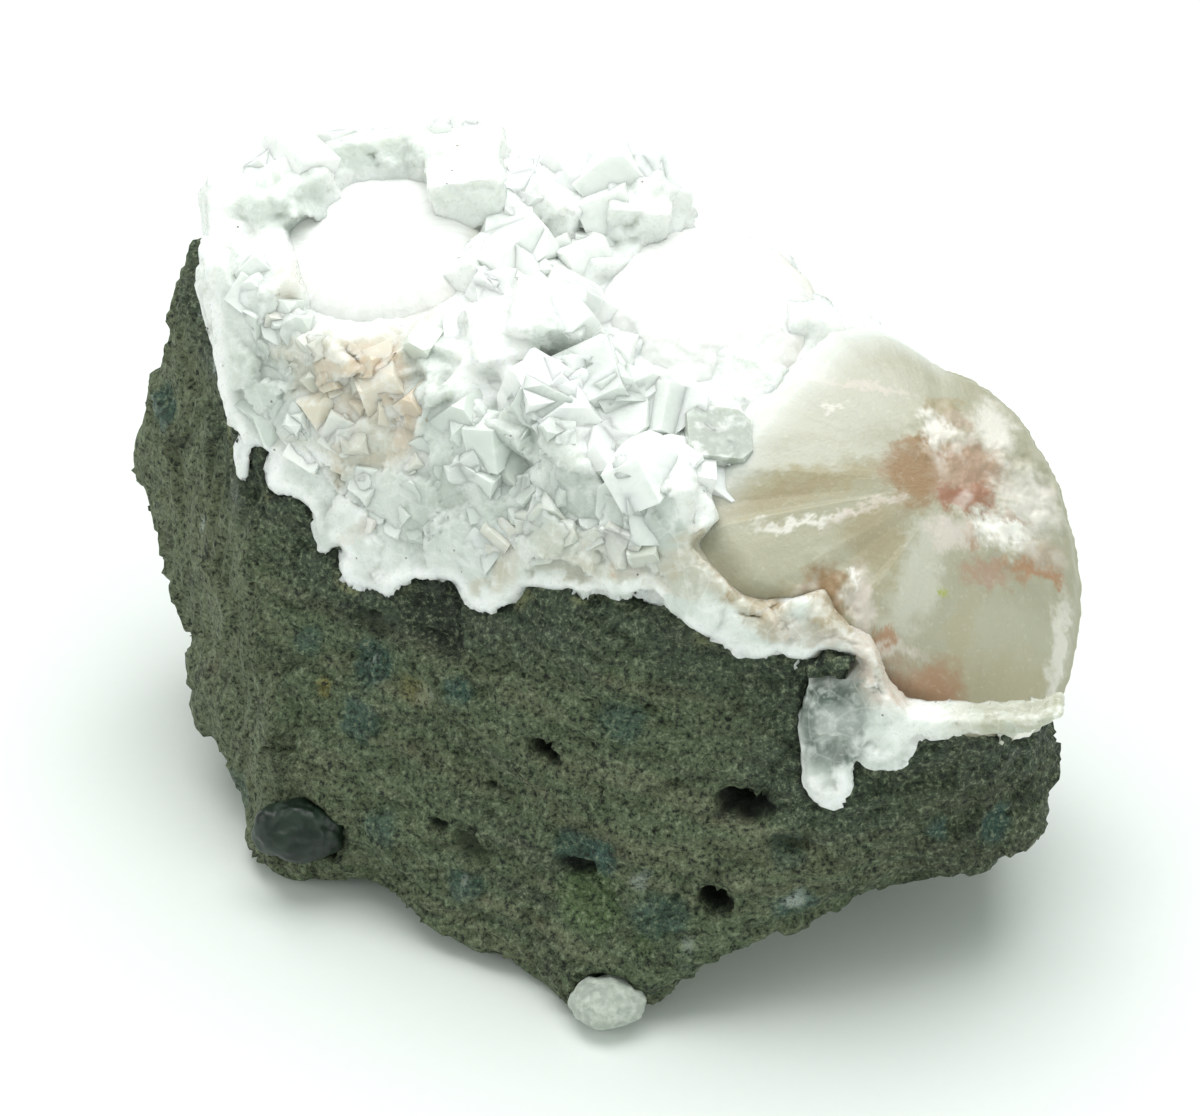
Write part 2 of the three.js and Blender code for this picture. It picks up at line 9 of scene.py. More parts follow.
import bpy
import numpy as np
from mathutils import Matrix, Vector


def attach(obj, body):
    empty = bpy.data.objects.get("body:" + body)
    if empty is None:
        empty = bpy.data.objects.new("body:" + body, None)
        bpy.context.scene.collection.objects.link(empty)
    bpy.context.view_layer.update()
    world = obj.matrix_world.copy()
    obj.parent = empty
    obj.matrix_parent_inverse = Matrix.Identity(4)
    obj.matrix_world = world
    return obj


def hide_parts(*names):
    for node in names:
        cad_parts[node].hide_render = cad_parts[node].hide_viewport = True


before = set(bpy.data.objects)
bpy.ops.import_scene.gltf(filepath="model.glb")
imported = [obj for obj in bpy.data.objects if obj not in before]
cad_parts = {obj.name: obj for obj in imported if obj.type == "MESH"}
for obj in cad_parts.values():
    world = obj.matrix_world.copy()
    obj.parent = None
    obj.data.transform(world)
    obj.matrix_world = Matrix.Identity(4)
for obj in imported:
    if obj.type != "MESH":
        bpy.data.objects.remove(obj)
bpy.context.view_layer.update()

# %% [markdown]
# ## Units and frames
#
# Blender works in metres, but a crystal is easier to think of in millimetres. All shapes below are
# arrays of points in millimetres, in the block's own frame: x to the right, y to the back, z up,
# with the middle of the cavity's floor over the origin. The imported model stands 3.6 mm further
# back, so that its box is centred. One helper takes points from there to a mesh.

# %% From millimetres to a mesh
MM = 0.001
BLOCK_SHIFT = np.array([0.0, 3.6, 0.0])


def add_object(name, points, faces, smooth=True):
    """A mesh object from an (n, 3) array in mm and a list of faces, each a list of point numbers."""
    mesh = bpy.data.meshes.new(name)
    mesh.from_pydata(((points + BLOCK_SHIFT) * MM).tolist(), [], faces)
    mesh.validate()
    mesh.polygons.foreach_set("use_smooth", np.full(len(mesh.polygons), smooth))
    made = bpy.data.objects.new(name, mesh)
    bpy.context.scene.collection.objects.link(made)
    return made


def add_values(made, name, values):
    """Stores one number per point, or one colour per point, where a material can read it."""
    if values.ndim == 1:
        made.data.attributes.new(name, "FLOAT", "POINT").data.foreach_set("value", values)
    else:
        colours = np.column_stack([values, np.ones(len(values))])
        store = made.data.attributes.new(name, "FLOAT_COLOR", "POINT")
        store.data.foreach_set("color", colours.astype(np.float32).ravel())


def points_of(mesh):
    """A mesh's points in mm, in the block's frame."""
    flat = np.empty(len(mesh.vertices) * 3, np.float32)
    mesh.vertices.foreach_get("co", flat)
    return flat.reshape(-1, 3).astype(float) / MM - BLOCK_SHIFT


for node_name in sorted(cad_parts):
    inside = points_of(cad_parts[node_name].data)
    print(node_name, inside.min(0).round(1), inside.max(0).round(1))

# %% [markdown]
# ## Roughness as arithmetic
#
# Rock, druse and fibres all need random but smooth relief. Gradient noise gives it: each corner of
# a lattice of cubes has a random arrow, a point takes the dot product of its offset from each of
# the eight corners with that corner's arrow, and a smooth weight blends them. It is worked out for
# all points at once, so 100,000 points take a fraction of a second.

# %% Smooth waves
def lattice(seed):
    """A fixed random order of 256 numbers and 256 arrows of length 1, for one pattern."""
    dice = np.random.default_rng(seed)
    arrows = dice.normal(size=(256, 3))
    return dice.permutation(256), arrows / np.linalg.norm(arrows, axis=1, keepdims=True)


def number_of(cell, order):
    """A number from 0 to 255 for each cube of the lattice."""
    x, y, z = (cell & 255).T
    return order[(order[(order[x] + y) & 255] + z) & 255]


def waves(points, size, seed=0):
    """Smooth waves between about -1 and 1 that repeat no oftener than every size mm."""
    order, arrows = lattice(seed)
    place = points / size + 512
    low = np.floor(place).astype(int)
    part = place - low
    fade = part**3 * (part * (part * 6 - 15) + 10)
    total = np.zeros(len(points))
    for corner in np.ndindex(2, 2, 2):
        arrow = arrows[number_of(low + corner, order)]
        weight = np.prod(np.where(corner, fade, 1 - fade), axis=1)
        total += weight * ((part - corner) * arrow).sum(1)
    return 1.6 * total


def layered(points, size, layers=4, seed=0, share=0.5):
    """Waves on waves: each layer is half the size and a share of the height of the one before."""
    total = np.zeros(len(points))
    for layer in range(layers):
        total += share**layer * waves(points, size / 2**layer, seed + layer)
    return total


probe = np.random.default_rng(1).uniform(-40, 40, (20000, 3))
print("waves run from", waves(probe, 5).min().round(2), "to", waves(probe, 5).max().round(2))

# %% [markdown]
# Broken rock and druse are made of flat bits rather than waves. Space is divided into cells round
# scattered points, and each cell gets its own tilted plane, so that a surface moved by it breaks
# into small facets.

# %% Facets
def cells(points, size, seed=0):
    """For each point the distances in mm to the nearest and the second nearest of scattered
    points, the number of the nearest, and the offset from it."""
    order, arrows = lattice(seed)
    jitter = 0.5 + 0.45 * arrows
    place = points / size + 512
    low = np.floor(place).astype(int)
    near = np.full(len(points), 9.0)
    second = near.copy()
    number = np.zeros(len(points), int)
    offset = np.zeros_like(points)
    for step in np.ndindex(3, 3, 3):
        cell = low + step - 1
        pick = number_of(cell, order)
        away = place - cell - jitter[pick]
        gap = np.linalg.norm(away, axis=1)
        closer = gap < near
        second = np.where(closer, near, np.minimum(second, gap))
        near = np.where(closer, gap, near)
        number = np.where(closer, pick, number)
        offset = np.where(closer[:, None], away, offset)
    return near * size, second * size, number, offset * size


def facets(points, size, seed=0):
    """A height in mm for a tilt of 1: in each cell a plane with its own slope, and its own step."""
    number, offset = cells(points, size, seed)[2:]
    slopes = lattice(seed + 50)[1]
    return (slopes[number] * offset).sum(1) + 0.3 * size * slopes[number, 0]


print("facets of 4 mm run to", facets(probe, 4).max().round(2), "mm")

# %% [markdown]
# ## From a CAD solid to a surface that can be worked
#
# The imported solids have large flat triangles. A copy is merged, turned into an even skin of small
# quads by a voxel remesh, and relaxed, which rounds the triangles' edges but keeps the outline.
# Relief is then added along the normals. A voxel is the side of the quads in mm. The rock's and the
# crust's are as small as keeps each of them under 200,000 triangles.

# %% Fine skins
FIRST_VOXEL = 0.6
ROCK_VOXEL = 0.5
CRUST_VOXEL = 0.42
FILLING_VOXEL = 0.16


def modified(mesh, kind, **settings):
    """A mesh as one modifier leaves it."""
    carrier = bpy.data.objects.new("carrier", mesh)
    bpy.context.scene.collection.objects.link(carrier)
    modifier = carrier.modifiers.new("once", kind)
    for key, value in settings.items():
        setattr(modifier, key, value)
    seen = carrier.evaluated_get(bpy.context.evaluated_depsgraph_get())
    result = bpy.data.meshes.new_from_object(seen)
    bpy.data.objects.remove(carrier)
    return result


def remeshed(mesh, voxel):
    """Points in mm and quads of an even skin with quads of about voxel mm."""
    skin = modified(mesh, "REMESH", mode="VOXEL", voxel_size=voxel * MM)
    points = points_of(skin)
    corners = np.empty(len(skin.loops), np.int32)
    skin.loops.foreach_get("vertex_index", corners)
    bpy.data.meshes.remove(skin)
    return points, corners.reshape(-1, 4)


def merged_copy(name):
    """A copy of a CAD node's mesh with its triangles joined."""
    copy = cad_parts[name].data.copy()
    return modified(copy, "WELD", merge_threshold=0.002 * MM)


def neighbour_mean(values, faces):
    """Each point's mean of the points at the other ends of its edges."""
    one = faces.ravel()
    other = np.roll(faces, -1, axis=1).ravel()
    count = np.bincount(one, minlength=len(values)) + np.bincount(other, minlength=len(values))
    columns = [
        np.bincount(one, column[other], len(values)) + np.bincount(other, column[one], len(values))
        for column in values.T
    ]
    return np.column_stack(columns) / np.maximum(count, 1)[:, None]


def relaxed(points, faces, rounds, share=0.6):
    """Moves each point by a share of the way to the mean of its neighbours, some rounds over."""
    for _ in range(rounds):
        points = points + share * (neighbour_mean(points, faces) - points)
    return points


def normals_of(points, faces):
    """Unit normals at the points of quads: the cross products of the diagonals of the quads
    that meet there, summed."""
    across = points[faces[:, 2]] - points[faces[:, 0]]
    along = points[faces[:, 3]] - points[faces[:, 1]]
    columns = [
        np.bincount(faces.ravel(), np.repeat(column, 4), len(points))
        for column in np.cross(across, along).T
    ]
    normals = np.column_stack(columns)
    return normals / np.maximum(np.linalg.norm(normals, axis=1, keepdims=True), 1e-9)


def smooth_step(values, start, end):
    """0 before start, 1 after end, and a smooth curve between."""
    share = np.clip((values - start) / (end - start), 0, 1)
    return share * share * (3 - 2 * share)


def distance_to(points, others, limit=6.0):
    """Distance from each point to the nearest of some others, up to a limit in mm. Both are
    sorted into cubes as wide as the limit, and only neighbouring cubes are compared."""
    nearest = np.full(len(points), limit)
    mine = np.floor(points / limit).astype(int)
    theirs = np.floor(others / limit).astype(int)
    for cube in np.unique(mine, axis=0):
        inside = np.flatnonzero((mine == cube).all(1))
        close = others[(np.abs(theirs - cube) <= 1).all(1)]
        if len(close):
            gaps = np.linalg.norm(points[inside, None] - close[None], axis=2).min(1)
            nearest[inside] = np.minimum(limit, gaps)
    return nearest


print("a smooth step is", smooth_step(0.25, 0, 1), "a quarter of the way along")

# %% [markdown]
# ## Materials as expressions
#
# A material is a few lines of arithmetic on patterns. One small class wraps a socket and turns
# Python's operators into Math nodes, and a finish holds the node tree and makes every other node.

# %% Shader arithmetic
class Value:
    """A number that varies over the surface."""

    def __init__(self, finish, socket):
        self.finish = finish
        self.socket = socket

    def math(self, operation, *others):
        node = self.finish.node("ShaderNodeMath", {"operation": operation}, {})
        for slot, value in zip(node.inputs, (self, *others)):
            self.finish.feed(slot, value)
        return Value(self.finish, node.outputs[0])

    def __add__(self, other):
        return self.math("ADD", other)

    def __rsub__(self, other):
        return (self * -1) + other

    def __mul__(self, other):
        return self.math("MULTIPLY", other)

    __radd__ = __add__
    __rmul__ = __mul__

    def step(self, start, end):
        """0 where the value is at start, 1 at end, smooth between; start may be above end."""
        settings = {"interpolation_type": "SMOOTHSTEP"}
        sockets = {"Value": self, "From Min": start, "From Max": end}
        node = self.finish.node("ShaderNodeMapRange", settings, sockets)
        return Value(self.finish, node.outputs["Result"])


class Finish:
    """One material: its node tree, patterns in millimetres, and its surface."""

    def __init__(self, name):
        self.material = bpy.data.materials.new(name)
        self.material.use_nodes = True
        self.tree = self.material.node_tree
        self.tree.nodes.clear()
        self.place = self.node("ShaderNodeTexCoord", {}, {}).outputs["Object"]

    def feed(self, slot, value):
        if isinstance(value, Value):
            value = value.socket
        if isinstance(value, bpy.types.NodeSocket):
            self.tree.links.new(value, slot)
        elif isinstance(value, tuple) and len(value) == 3 and slot.type == "RGBA":
            slot.default_value = (*value, 1)
        else:
            slot.default_value = value

    def node(self, kind, settings, sockets):
        """A node of a kind; its settings come first, since they can change its sockets."""
        made = self.tree.nodes.new(kind)
        for key, value in settings.items():
            setattr(made, key, value)
        for key, value in sockets.items():
            self.feed(made.inputs[key], value)
        return made

    def noise(self, size, detail=3, rough=0.55):
        """Cloudy pattern from 0 to 1, with blobs of about size mm."""
        sockets = {"Vector": self.place, "Scale": 1 / (size * MM), "Detail": detail,
                   "Roughness": rough}
        return Value(self, self.node("ShaderNodeTexNoise", {}, sockets).outputs["Fac"])

    def grain(self, size, feature="F1"):
        """Distances in cells of about size mm: to a cell's middle, or to its nearest edge."""
        sockets = {"Vector": self.place, "Scale": 1 / (size * MM)}
        voronoi = self.node("ShaderNodeTexVoronoi", {"feature": feature}, sockets)
        return Value(self, voronoi.outputs["Distance"])

    def read(self, name):
        """A number stored at the points."""
        store = self.node("ShaderNodeAttribute", {"attribute_name": name}, {})
        return Value(self, store.outputs["Fac"])

    def read_colour(self, name):
        """A colour stored at the points."""
        return self.node("ShaderNodeAttribute", {"attribute_name": name}, {}).outputs["Color"]

    def mix(self, share, first, second):
        """From the first colour to the second by a share."""
        node = self.node("ShaderNodeMix", {"data_type": "RGBA"}, {})
        self.feed(node.inputs["Factor"], share)
        self.feed(node.inputs[6], first)
        self.feed(node.inputs[7], second)
        return node.outputs[2]

    def bump(self, height, depth, below=None):
        """A normal for a height of 0 to 1 that stands depth mm deep."""
        sockets = {"Height": height, "Strength": 1.0, "Distance": depth * MM}
        if below is not None:
            sockets["Normal"] = below
        return self.node("ShaderNodeBump", {}, sockets).outputs["Normal"]

    def surface(self, varying, fixed):
        """The shader, with what varies over the surface and what is the same all over."""
        shader = self.node("ShaderNodeBsdfPrincipled", {}, {})
        for key, value in {**varying, **fixed}.items():
            self.feed(shader.inputs[key], value)
        output = self.node("ShaderNodeOutputMaterial", {}, {})
        self.feed(output.inputs["Surface"], shader.outputs[0])
        print("finish", self.material.name, len(self.tree.nodes), "nodes")
        return self.material


# %% [markdown]
# ## Camera, floor and light
#
# The specimen is seen from 38 degrees above the table, from 42 cm away. A long lens keeps it free
# of distortion, as in a photograph of a small thing. The Standard view transform leaves whites
# white, where a filmic one would grey them.

# %% Camera
VIEW_TILT = 38
LOOK_AT = Vector((0.0, 3.6, 30.0)) * MM
camera_data = bpy.data.cameras.new("view")
camera_data.lens = 126
camera_data.sensor_width = 36
camera = bpy.data.objects.new("view", camera_data)
camera.location = Vector((0.0, -327.4, 288.6)) * MM
camera.rotation_euler = (LOOK_AT - camera.location).to_track_quat("-Z", "Y").to_euler()
bpy.context.scene.collection.objects.link(camera)
bpy.context.scene.camera = camera
bpy.context.scene.view_settings.view_transform = "Standard"
print("camera", round((LOOK_AT - camera.location).length / MM), "mm away")

# %% [markdown]
# The specimen lies on white paper: one square, large enough that no edge shows from the camera. A
# little tooth in its colour and its bump keeps it from looking like plastic.

# %% Floor
PAPER = 1600.0
floor_points = np.array([[-1, -1, 0], [1, -1, 0], [1, 1, 0], [-1, 1, 0]]) * PAPER / 2 - BLOCK_SHIFT
floor = add_object("paper", floor_points, [[0, 1, 2, 3]])
paper = Finish("white_paper")
tooth = paper.noise(1.2, detail=4)
shade = paper.mix(tooth, (0.80, 0.825, 0.81), (0.83, 0.85, 0.84))
floor.data.materials.append(paper.surface(
    {"Base Color": shade, "Normal": paper.bump(tooth, 0.02)}, {"Roughness": 0.7},
))

# %% [markdown]
# A big soft lamp above and behind lights the crust's upper side until it is almost burnt out. Two
# weak fills open the broken front, and a slightly green room does the rest, which leaves the shadow
# under the block soft. Small hard lamps would put sharp shadows under every crystal.

# %% Light
def soft_light(name, place, size, power, colour):
    """A square lamp of size mm at a place in mm that shines on the specimen."""
    lamp = bpy.data.lights.new(name, "AREA")
    lamp.size = size * MM
    lamp.energy = power
    lamp.color = colour
    made = bpy.data.objects.new(name, lamp)
    made.location = Vector(place) * MM
    made.rotation_euler = (LOOK_AT - made.location).to_track_quat("-Z", "Y").to_euler()
    bpy.context.scene.collection.objects.link(made)


soft_light("overhead", (0, 150, 620), 640, 4.3, (1.0, 1.0, 1.0))
soft_light("left_fill", (-560, -240, 300), 420, 0.85, (1.0, 1.0, 0.97))
soft_light("right_fill", (420, -420, 260), 420, 0.9, (0.95, 1.0, 0.95))
studio = bpy.data.worlds.new("room")
studio.use_nodes = True
studio_light = studio.node_tree.nodes["Background"].inputs
studio_light["Color"].default_value = (0.88, 1.0, 0.92, 1)
studio_light["Strength"].default_value = 0.48
bpy.context.scene.world = studio
print("lamps", [lamp.name for lamp in bpy.data.lights])

# %% [markdown]
# ## Two heights that everything hangs on
#
# The crust lies on a sloping bed in the basalt and has a sloping top, both highest at the back.
# Its front edge runs slantwise across the block, and the top bends down towards that edge and
# towards the right end. Crystals and druse are placed by the top, and the block's broken front is
# two planes that meet at its toe. A point less than 4 mm behind the planes counts as near them.

# %% The crust's frame
FRONT_START = np.array([-35.0, 0.6])
FRONT_WAY = np.array([63.0, -31.6]) / np.hypot(63.0, 31.6)
TOE = np.array([0.5, -36.6, 0.0])
NEAR_FRONT = -4
FRONT_NORMALS = np.array([[-0.468, -0.827, 0.313], [-0.212, -0.926, 0.312]])
BALLS = [
    {"centre": np.array([-21.8, 14, 56.4]), "radius": 10, "above": 0.46,
     "facing": (-0.05, -0.22, 0.97)},
    {"centre": np.array([10.8, 7.6, 53.6]), "radius": 10, "above": 0.55,
     "facing": (0.1, -0.16, 0.98)},
]


def behind_front(x, y):
    """Distance in mm behind the crust's front edge, seen from above."""
    return -FRONT_WAY[1] * (x - FRONT_START[0]) + FRONT_WAY[0] * (y - FRONT_START[1])


def crust_top(x, y):
    """Height of the crust's top: a plane that rises to the back, less a bend at the front edge
    and one at the right end."""
    edge = np.maximum(0, (8 - behind_front(x, y)) / 10)
    right = np.maximum(0, x - 34)
    return 53.5 + 0.27 * y - 0.03 * x - 0.055 * right**2 - 6 * edge**2


def past_balls(points):
    """Distance in mm past the rim of the nearer ball, seen from above."""
    gaps = [np.linalg.norm((points - ball["centre"])[:, :2], axis=1) - ball["radius"] for ball in BALLS]
    return np.min(gaps, axis=0)


def over(colours, *layers):
    """Lays colours over others, one after another. A layer is a colour and its share."""
    for colour, share in layers:
        colours = colours + share[..., None] * (np.array(colour) - colours)
    return colours


def out_from(right, up, half_wide, half_tall, tilt, power=2):
    """How far out places lie in an ellipse that is tilted by some degrees: 0 in its middle, 1 at
    its edge. It is the root of the summed powers of the two offsets, each as a share of its half
    axis, and a power of 4 makes the ellipse a rounded block."""
    turn = np.radians(tilt)
    along = np.abs(right * np.cos(turn) + up * np.sin(turn)) / half_wide
    aside = np.abs(up * np.cos(turn) - right * np.sin(turn)) / half_tall
    return (along**power + aside**power) ** (1 / power)


def blots(points, rows, ragged=1.2, seed=30):
    """The strongest of several ragged spots at each point. A row is a place, a radius in mm and
    a strength; a spot fades from full strength to none over the quarter radius on either side of
    its radius."""
    bent = points + ragged * np.stack([waves(points, 3.2, seed + k) for k in range(3)], 1)
    most = np.zeros(len(points))
    for place_x, place_y, place_z, radius, strength in rows:
        away = np.linalg.norm(bent - [place_x, place_y, place_z], axis=1)
        most = np.maximum(most, strength * (1 - smooth_step(away, 0.75 * radius, 1.25 * radius)))
    return most


print("crust top over the middle", crust_top(0.0, 0.0).round(1), "mm")

# %% [markdown]
# ## The line where the crust meets the rock
#
# The hammer broke crust and basalt through together, so at the front the two are flush and only a
# line parts them: lobes of white druse in hollows of the rock, and a tongue at the right. The line
# is a table of places across and up on the broken front. Points of the basalt inside it are moved
# back, and points of the crust outside it too, so that each hides behind the other.

# %% Contact line
CONTACT = [
    (-39, 61), (-38.6, 60.1), (-38.1, 56.7), (-37.6, 52.6), (-37.1, 47.5), (-36.5, 45.1),
    (-35.5, 44.8), (-35, 44.2), (-35.3, 43.2), (-36, 42.2), (-35.8, 40.5), (-35.1, 40),
    (-34.6, 41.3), (-34.3, 43.1), (-33.4, 44.2), (-32.4, 43.7), (-32.9, 41.5), (-32.5, 40.4),
    (-31.3, 40.1), (-29.7, 40.6), (-28.7, 40), (-28.2, 38.7), (-27.7, 37.1), (-27, 36),
    (-26.3, 36.7), (-25.7, 37.5), (-25.2, 37), (-25.6, 35.6), (-25.2, 34.2), (-23.6, 33.9),
    (-20.4, 34.4), (-19.4, 35.8), (-18.2, 36.5), (-14.2, 38), (-13.7, 37.6), (-13.4, 36.2),
    (-12.1, 35.9), (-10.4, 36.3), (-8.8, 37.6), (-7.6, 39.1), (-5.7, 40.1), (-3.2, 40.9),
    (-1.1, 41), (0, 41.9), (1.1, 41.5), (2.9, 42.6), (5, 43.4), (6.1, 43.1), (5.9, 42.4),
    (7.7, 41.2), (10.3, 39.8), (12.1, 39.4), (13, 38.6), (14.5, 38.8), (15.8, 39.1), (16.8, 39.6),
    (18.3, 39.3), (20.2, 39.5), (20.9, 40.6), (23.4, 40.5), (24.5, 39.4), (23.2, 38.2), (22.5, 37),
    (19.5, 36.8), (19, 35.2), (19, 31.8), (19.4, 29.6), (19.1, 27.4), (20, 25.9), (21.7, 25.3),
    (23.2, 26.1), (23.8, 27.7), (23.4, 29.6), (24.2, 31), (25, 30), (26.7, 29.9), (28.4, 30.7),
    (29.2, 32.2), (29.6, 33.4), (31.7, 34.1), (36.3, 34.8), (39.9, 35.5), (41.5, 36.4),
    (43.1, 37.7),
]
CRUST_FRONT = np.array(CONTACT + [(50, 80), (-45, 80)])


def depth_inside(outline, places):
    """Distance in mm from places to a closed outline, positive inside it. The distance is the
    least to its sides; inside is where a ray to the left crosses an odd number of them."""
    nearest = np.full(len(places), 1e9)
    crossings = np.zeros(len(places), int)
    for start, side in zip(outline, np.roll(outline, -1, axis=0) - outline):
        away = places - start
        share = np.clip(away @ side / (side @ side), 0, 1)
        nearest = np.minimum(nearest, np.hypot(*(away - share[:, None] * side).T))
        level = (away[:, 1] < 0) != (away[:, 1] < side[1])
        crossings += level & (away[:, 0] * side[1] > away[:, 1] * side[0]) * (side[1] > 0)
        crossings += level & (away[:, 0] * side[1] < away[:, 1] * side[0]) * (side[1] < 0)
    return np.where(crossings % 2 == 1, nearest, -nearest)


def front_gap(points):
    """How far points stand out past the block's broken front, and the front's normal there."""
    gaps = (points - TOE) @ FRONT_NORMALS.T
    return gaps.max(1), FRONT_NORMALS[gaps.argmax(1)]


def pressed_back(points, allowed):
    """Points moved back until they stand out past the front by no more than allowed mm."""
    gap, way = front_gap(points)
    return points - way * np.maximum(0, gap - allowed)[:, None]


print("contact line of", len(CONTACT), "points")

# %% [markdown]
# ## The basalt
#
# Basalt breaks into rough faces with a fine, sparkling grain and faint layers. The relief goes on
# in sizes: hollows of a centimetre, ledges that follow the layers, chipped facets of a few
# millimetres, and grains. On the left face the ledges stand upright. The underside stays flat
# where it stands. A square flake has come off under the crust, and gas holes are pressed in.

# %% Basalt surface
# A hole is its place across and up, its half width and height, its tilt in degrees and its depth.
FRONT_HOLES = [
    (13.8, 24.2, 3.0, 1.4, 0, 2.8), (11, 13.9, 1.7, 1.1, 0, 2.4), (-2, 14.2, 2.7, 0.9, 0, 1.6),
    (-5.5, 24.7, 1.7, 1.0, -20, 1.4), (-16.1, 14, 0.9, 0.7, 0, 1.2), (-10.9, 19.2, 0.9, 0.6, 0, 1.0),
    (17.8, 21.2, 2.0, 1.5, 0, 0.7), (-13, 12.9, 2.2, 1.3, -20, 0.8), (-22, 31.0, 2.4, 1.6, 0, 0.7),
    (33, 25.4, 1.2, 1.1, 0, 0.6), (26.4, 33.2, 1.0, 0.7, 0, 0.9),
]
# A shift is its place, how far it reaches, and the move in x, y and z at its middle.
SHIFTS = [
    (-34, -12, 1, 7, -2.2, -1.2, 0), (-40, 3, 11, 11, -1.5, 0, 0), (43, -18, 18, 7, 2.0, 0, 0),
    (3.4, -36, 1, 5, -1.6, 1.2, 0), (-46, 17, 31, 9, -0.7, 0, 0),
]


def shifted(points, rows):
    """Moves points near some places: at a place by the whole shift, at its radius not at all."""
    for place_x, place_y, place_z, radius, shift_x, shift_y, shift_z in rows:
        away = np.linalg.norm(points - [place_x, place_y, place_z], axis=1)
        share = 1 - smooth_step(away, 0, radius)
        points = points + share[:, None] * [shift_x, shift_y, shift_z]
    return points


def skin_over(shapes, voxel):
    """One even skin over shapes that may overlap, each its points and its faces."""
    points = np.vstack([shape_points for shape_points, _ in shapes])
    starts = np.cumsum([0] + [len(shape_points) for shape_points, _ in shapes])
    faces = [
        [number + start for number in face]
        for start, (_, shape_faces) in zip(starts, shapes) for face in shape_faces
    ]
    mesh = bpy.data.meshes.new("skin")
    mesh.from_pydata(((points + BLOCK_SHIFT) * MM).tolist(), [], faces)
    return remeshed(mesh, voxel)


def brick(middle, size):
    """A plain box, as points and faces."""
    corners = np.array(list(np.ndindex(2, 2, 2))) - 0.5
    faces = [[0, 1, 3, 2], [4, 6, 7, 5], [0, 4, 5, 1], [2, 3, 7, 6], [0, 2, 6, 4], [1, 5, 7, 3]]
    return middle + corners * size, faces


knob = brick(np.array([21.2, -26.6, 38.7]), [4.6, 4.0, 2.8])
rock_start, rock_faces = remeshed(merged_copy("basalt_matrix"), FIRST_VOXEL)
rock_start, basalt_faces = skin_over([(rock_start, rock_faces.tolist()), knob], ROCK_VOXEL)
basalt_points = shifted(relaxed(rock_start, basalt_faces, 5), SHIFTS)
basalt_normals = normals_of(basalt_points, basalt_faces)
upright = smooth_step(-basalt_normals[:, 0], 0.55, 0.8)[:, None]
layers_place = basalt_points * [0.8, 0.8, 2.4] + 0.5 * basalt_points[:, [0]] * [0, 0, 0.5]
layers_place = layers_place + upright * (basalt_points * [1, 2.0, 0.35] - layers_place)
behind = smooth_step(front_gap(basalt_points)[0], -5, -14)
behind = behind * smooth_step(basalt_normals[:, 1], 0.0, 0.5)
basalt_relief = (
    0.22 * layered(layers_place, 12, 3, 3)
    + 0.16 * behind * facets(basalt_points + 2 * waves(basalt_points, 9, 16)[:, None], 15, 17)
    + 0.14 * facets(basalt_points + 1.2 * waves(basalt_points, 4, 8)[:, None], 6.5, 5)
    + 0.20 * facets(layers_place, 3.0, 9)
    + 0.12 * layered(layers_place * [0.3, 0.3, 1.3], 2.2, 2, 109)
    + 0.12 * layered(basalt_points, 1.3, 2, 12)
)
across, height = basalt_points[:, 0], basalt_points[:, 2]
flake = (
    smooth_step(across, -21.5, -17.0) * smooth_step(across, -13.4, -13.8)
    * smooth_step(height, 29.6, 31.0) * smooth_step(height, 42, 39)
    * (basalt_normals[:, 1] < -0.5)
)
basalt_gap, basalt_way = front_gap(basalt_points)
at_front = (basalt_gap > NEAR_FRONT) & ((basalt_normals * basalt_way).sum(1) > 0.2)
hole_depth = np.zeros(len(basalt_points))
hole_across = across + 0.35 * waves(basalt_points, 1.2, 14)
hole_up = height + 0.35 * waves(basalt_points, 1.2, 15)
for place_across, place_up, half_wide, half_tall, tilt, deep in FRONT_HOLES:
    out = out_from(hole_across - place_across, hole_up - place_up, half_wide, half_tall, tilt)
    hole_depth = np.maximum(hole_depth, deep * (1 - smooth_step(out, 0.55, 1.1)) * at_front)
in_crust = np.full(len(basalt_points), -9.0)
near = basalt_gap > NEAR_FRONT
in_crust[near] = depth_inside(CRUST_FRONT, basalt_points[near][:, [0, 2]])
basalt_relief = basalt_relief * smooth_step(height, 0.3, 2.5) - 1.7 * flake
basalt_points = basalt_points + basalt_normals * basalt_relief[:, None]
under_crust = 2.0 * at_front * smooth_step(in_crust, -0.2, 0.5)
basalt_points -= basalt_way * (hole_depth + under_crust)[:, None]
basalt_points[:, 2] = np.maximum(basalt_points[:, 2], 0)
print("basalt", len(basalt_points), "points, relief", basalt_relief.std().round(2), "mm")

# %% [markdown]
# ## Crystals
#
# Apophyllite grows as stubby square prisms that look like cubes with their corners cut off. One
# crystal is sixteen points: four corners of the buried end, and at the free end each corner split
# in three by its cut. Hundreds of them are one array: the points of a crystal times its size,
# turned by its own matrix and moved to its place.

# %% One crystal, many times
CORNER_SIGNS = np.array([[-1, -1], [1, -1], [1, 1], [-1, 1]])


def crystal_block(sizes, cuts):
    """(crystals, 16, 3) points from (crystals, 3) sizes. Point 4k is the foot of corner k; 4k+1,
    4k+2 and 4k+3 are its free end, moved by the cut along x, along y and down."""
    points = np.empty((len(sizes), 4, 4, 3))
    points[..., 0] = CORNER_SIGNS[:, 0, None] * sizes[:, 0, None, None] / 2
    points[..., 1] = CORNER_SIGNS[:, 1, None] * sizes[:, 1, None, None] / 2
    points[..., 2] = sizes[:, 2, None, None] / 2
    points[:, :, 0, 2] *= -1
    points[:, :, 1, 0] -= CORNER_SIGNS[:, 0] * cuts[:, None]
    points[:, :, 2, 1] -= CORNER_SIGNS[:, 1] * cuts[:, None]
    points[:, :, 3, 2] -= 1.3 * cuts[:, None]
    return points.reshape(-1, 16, 3)


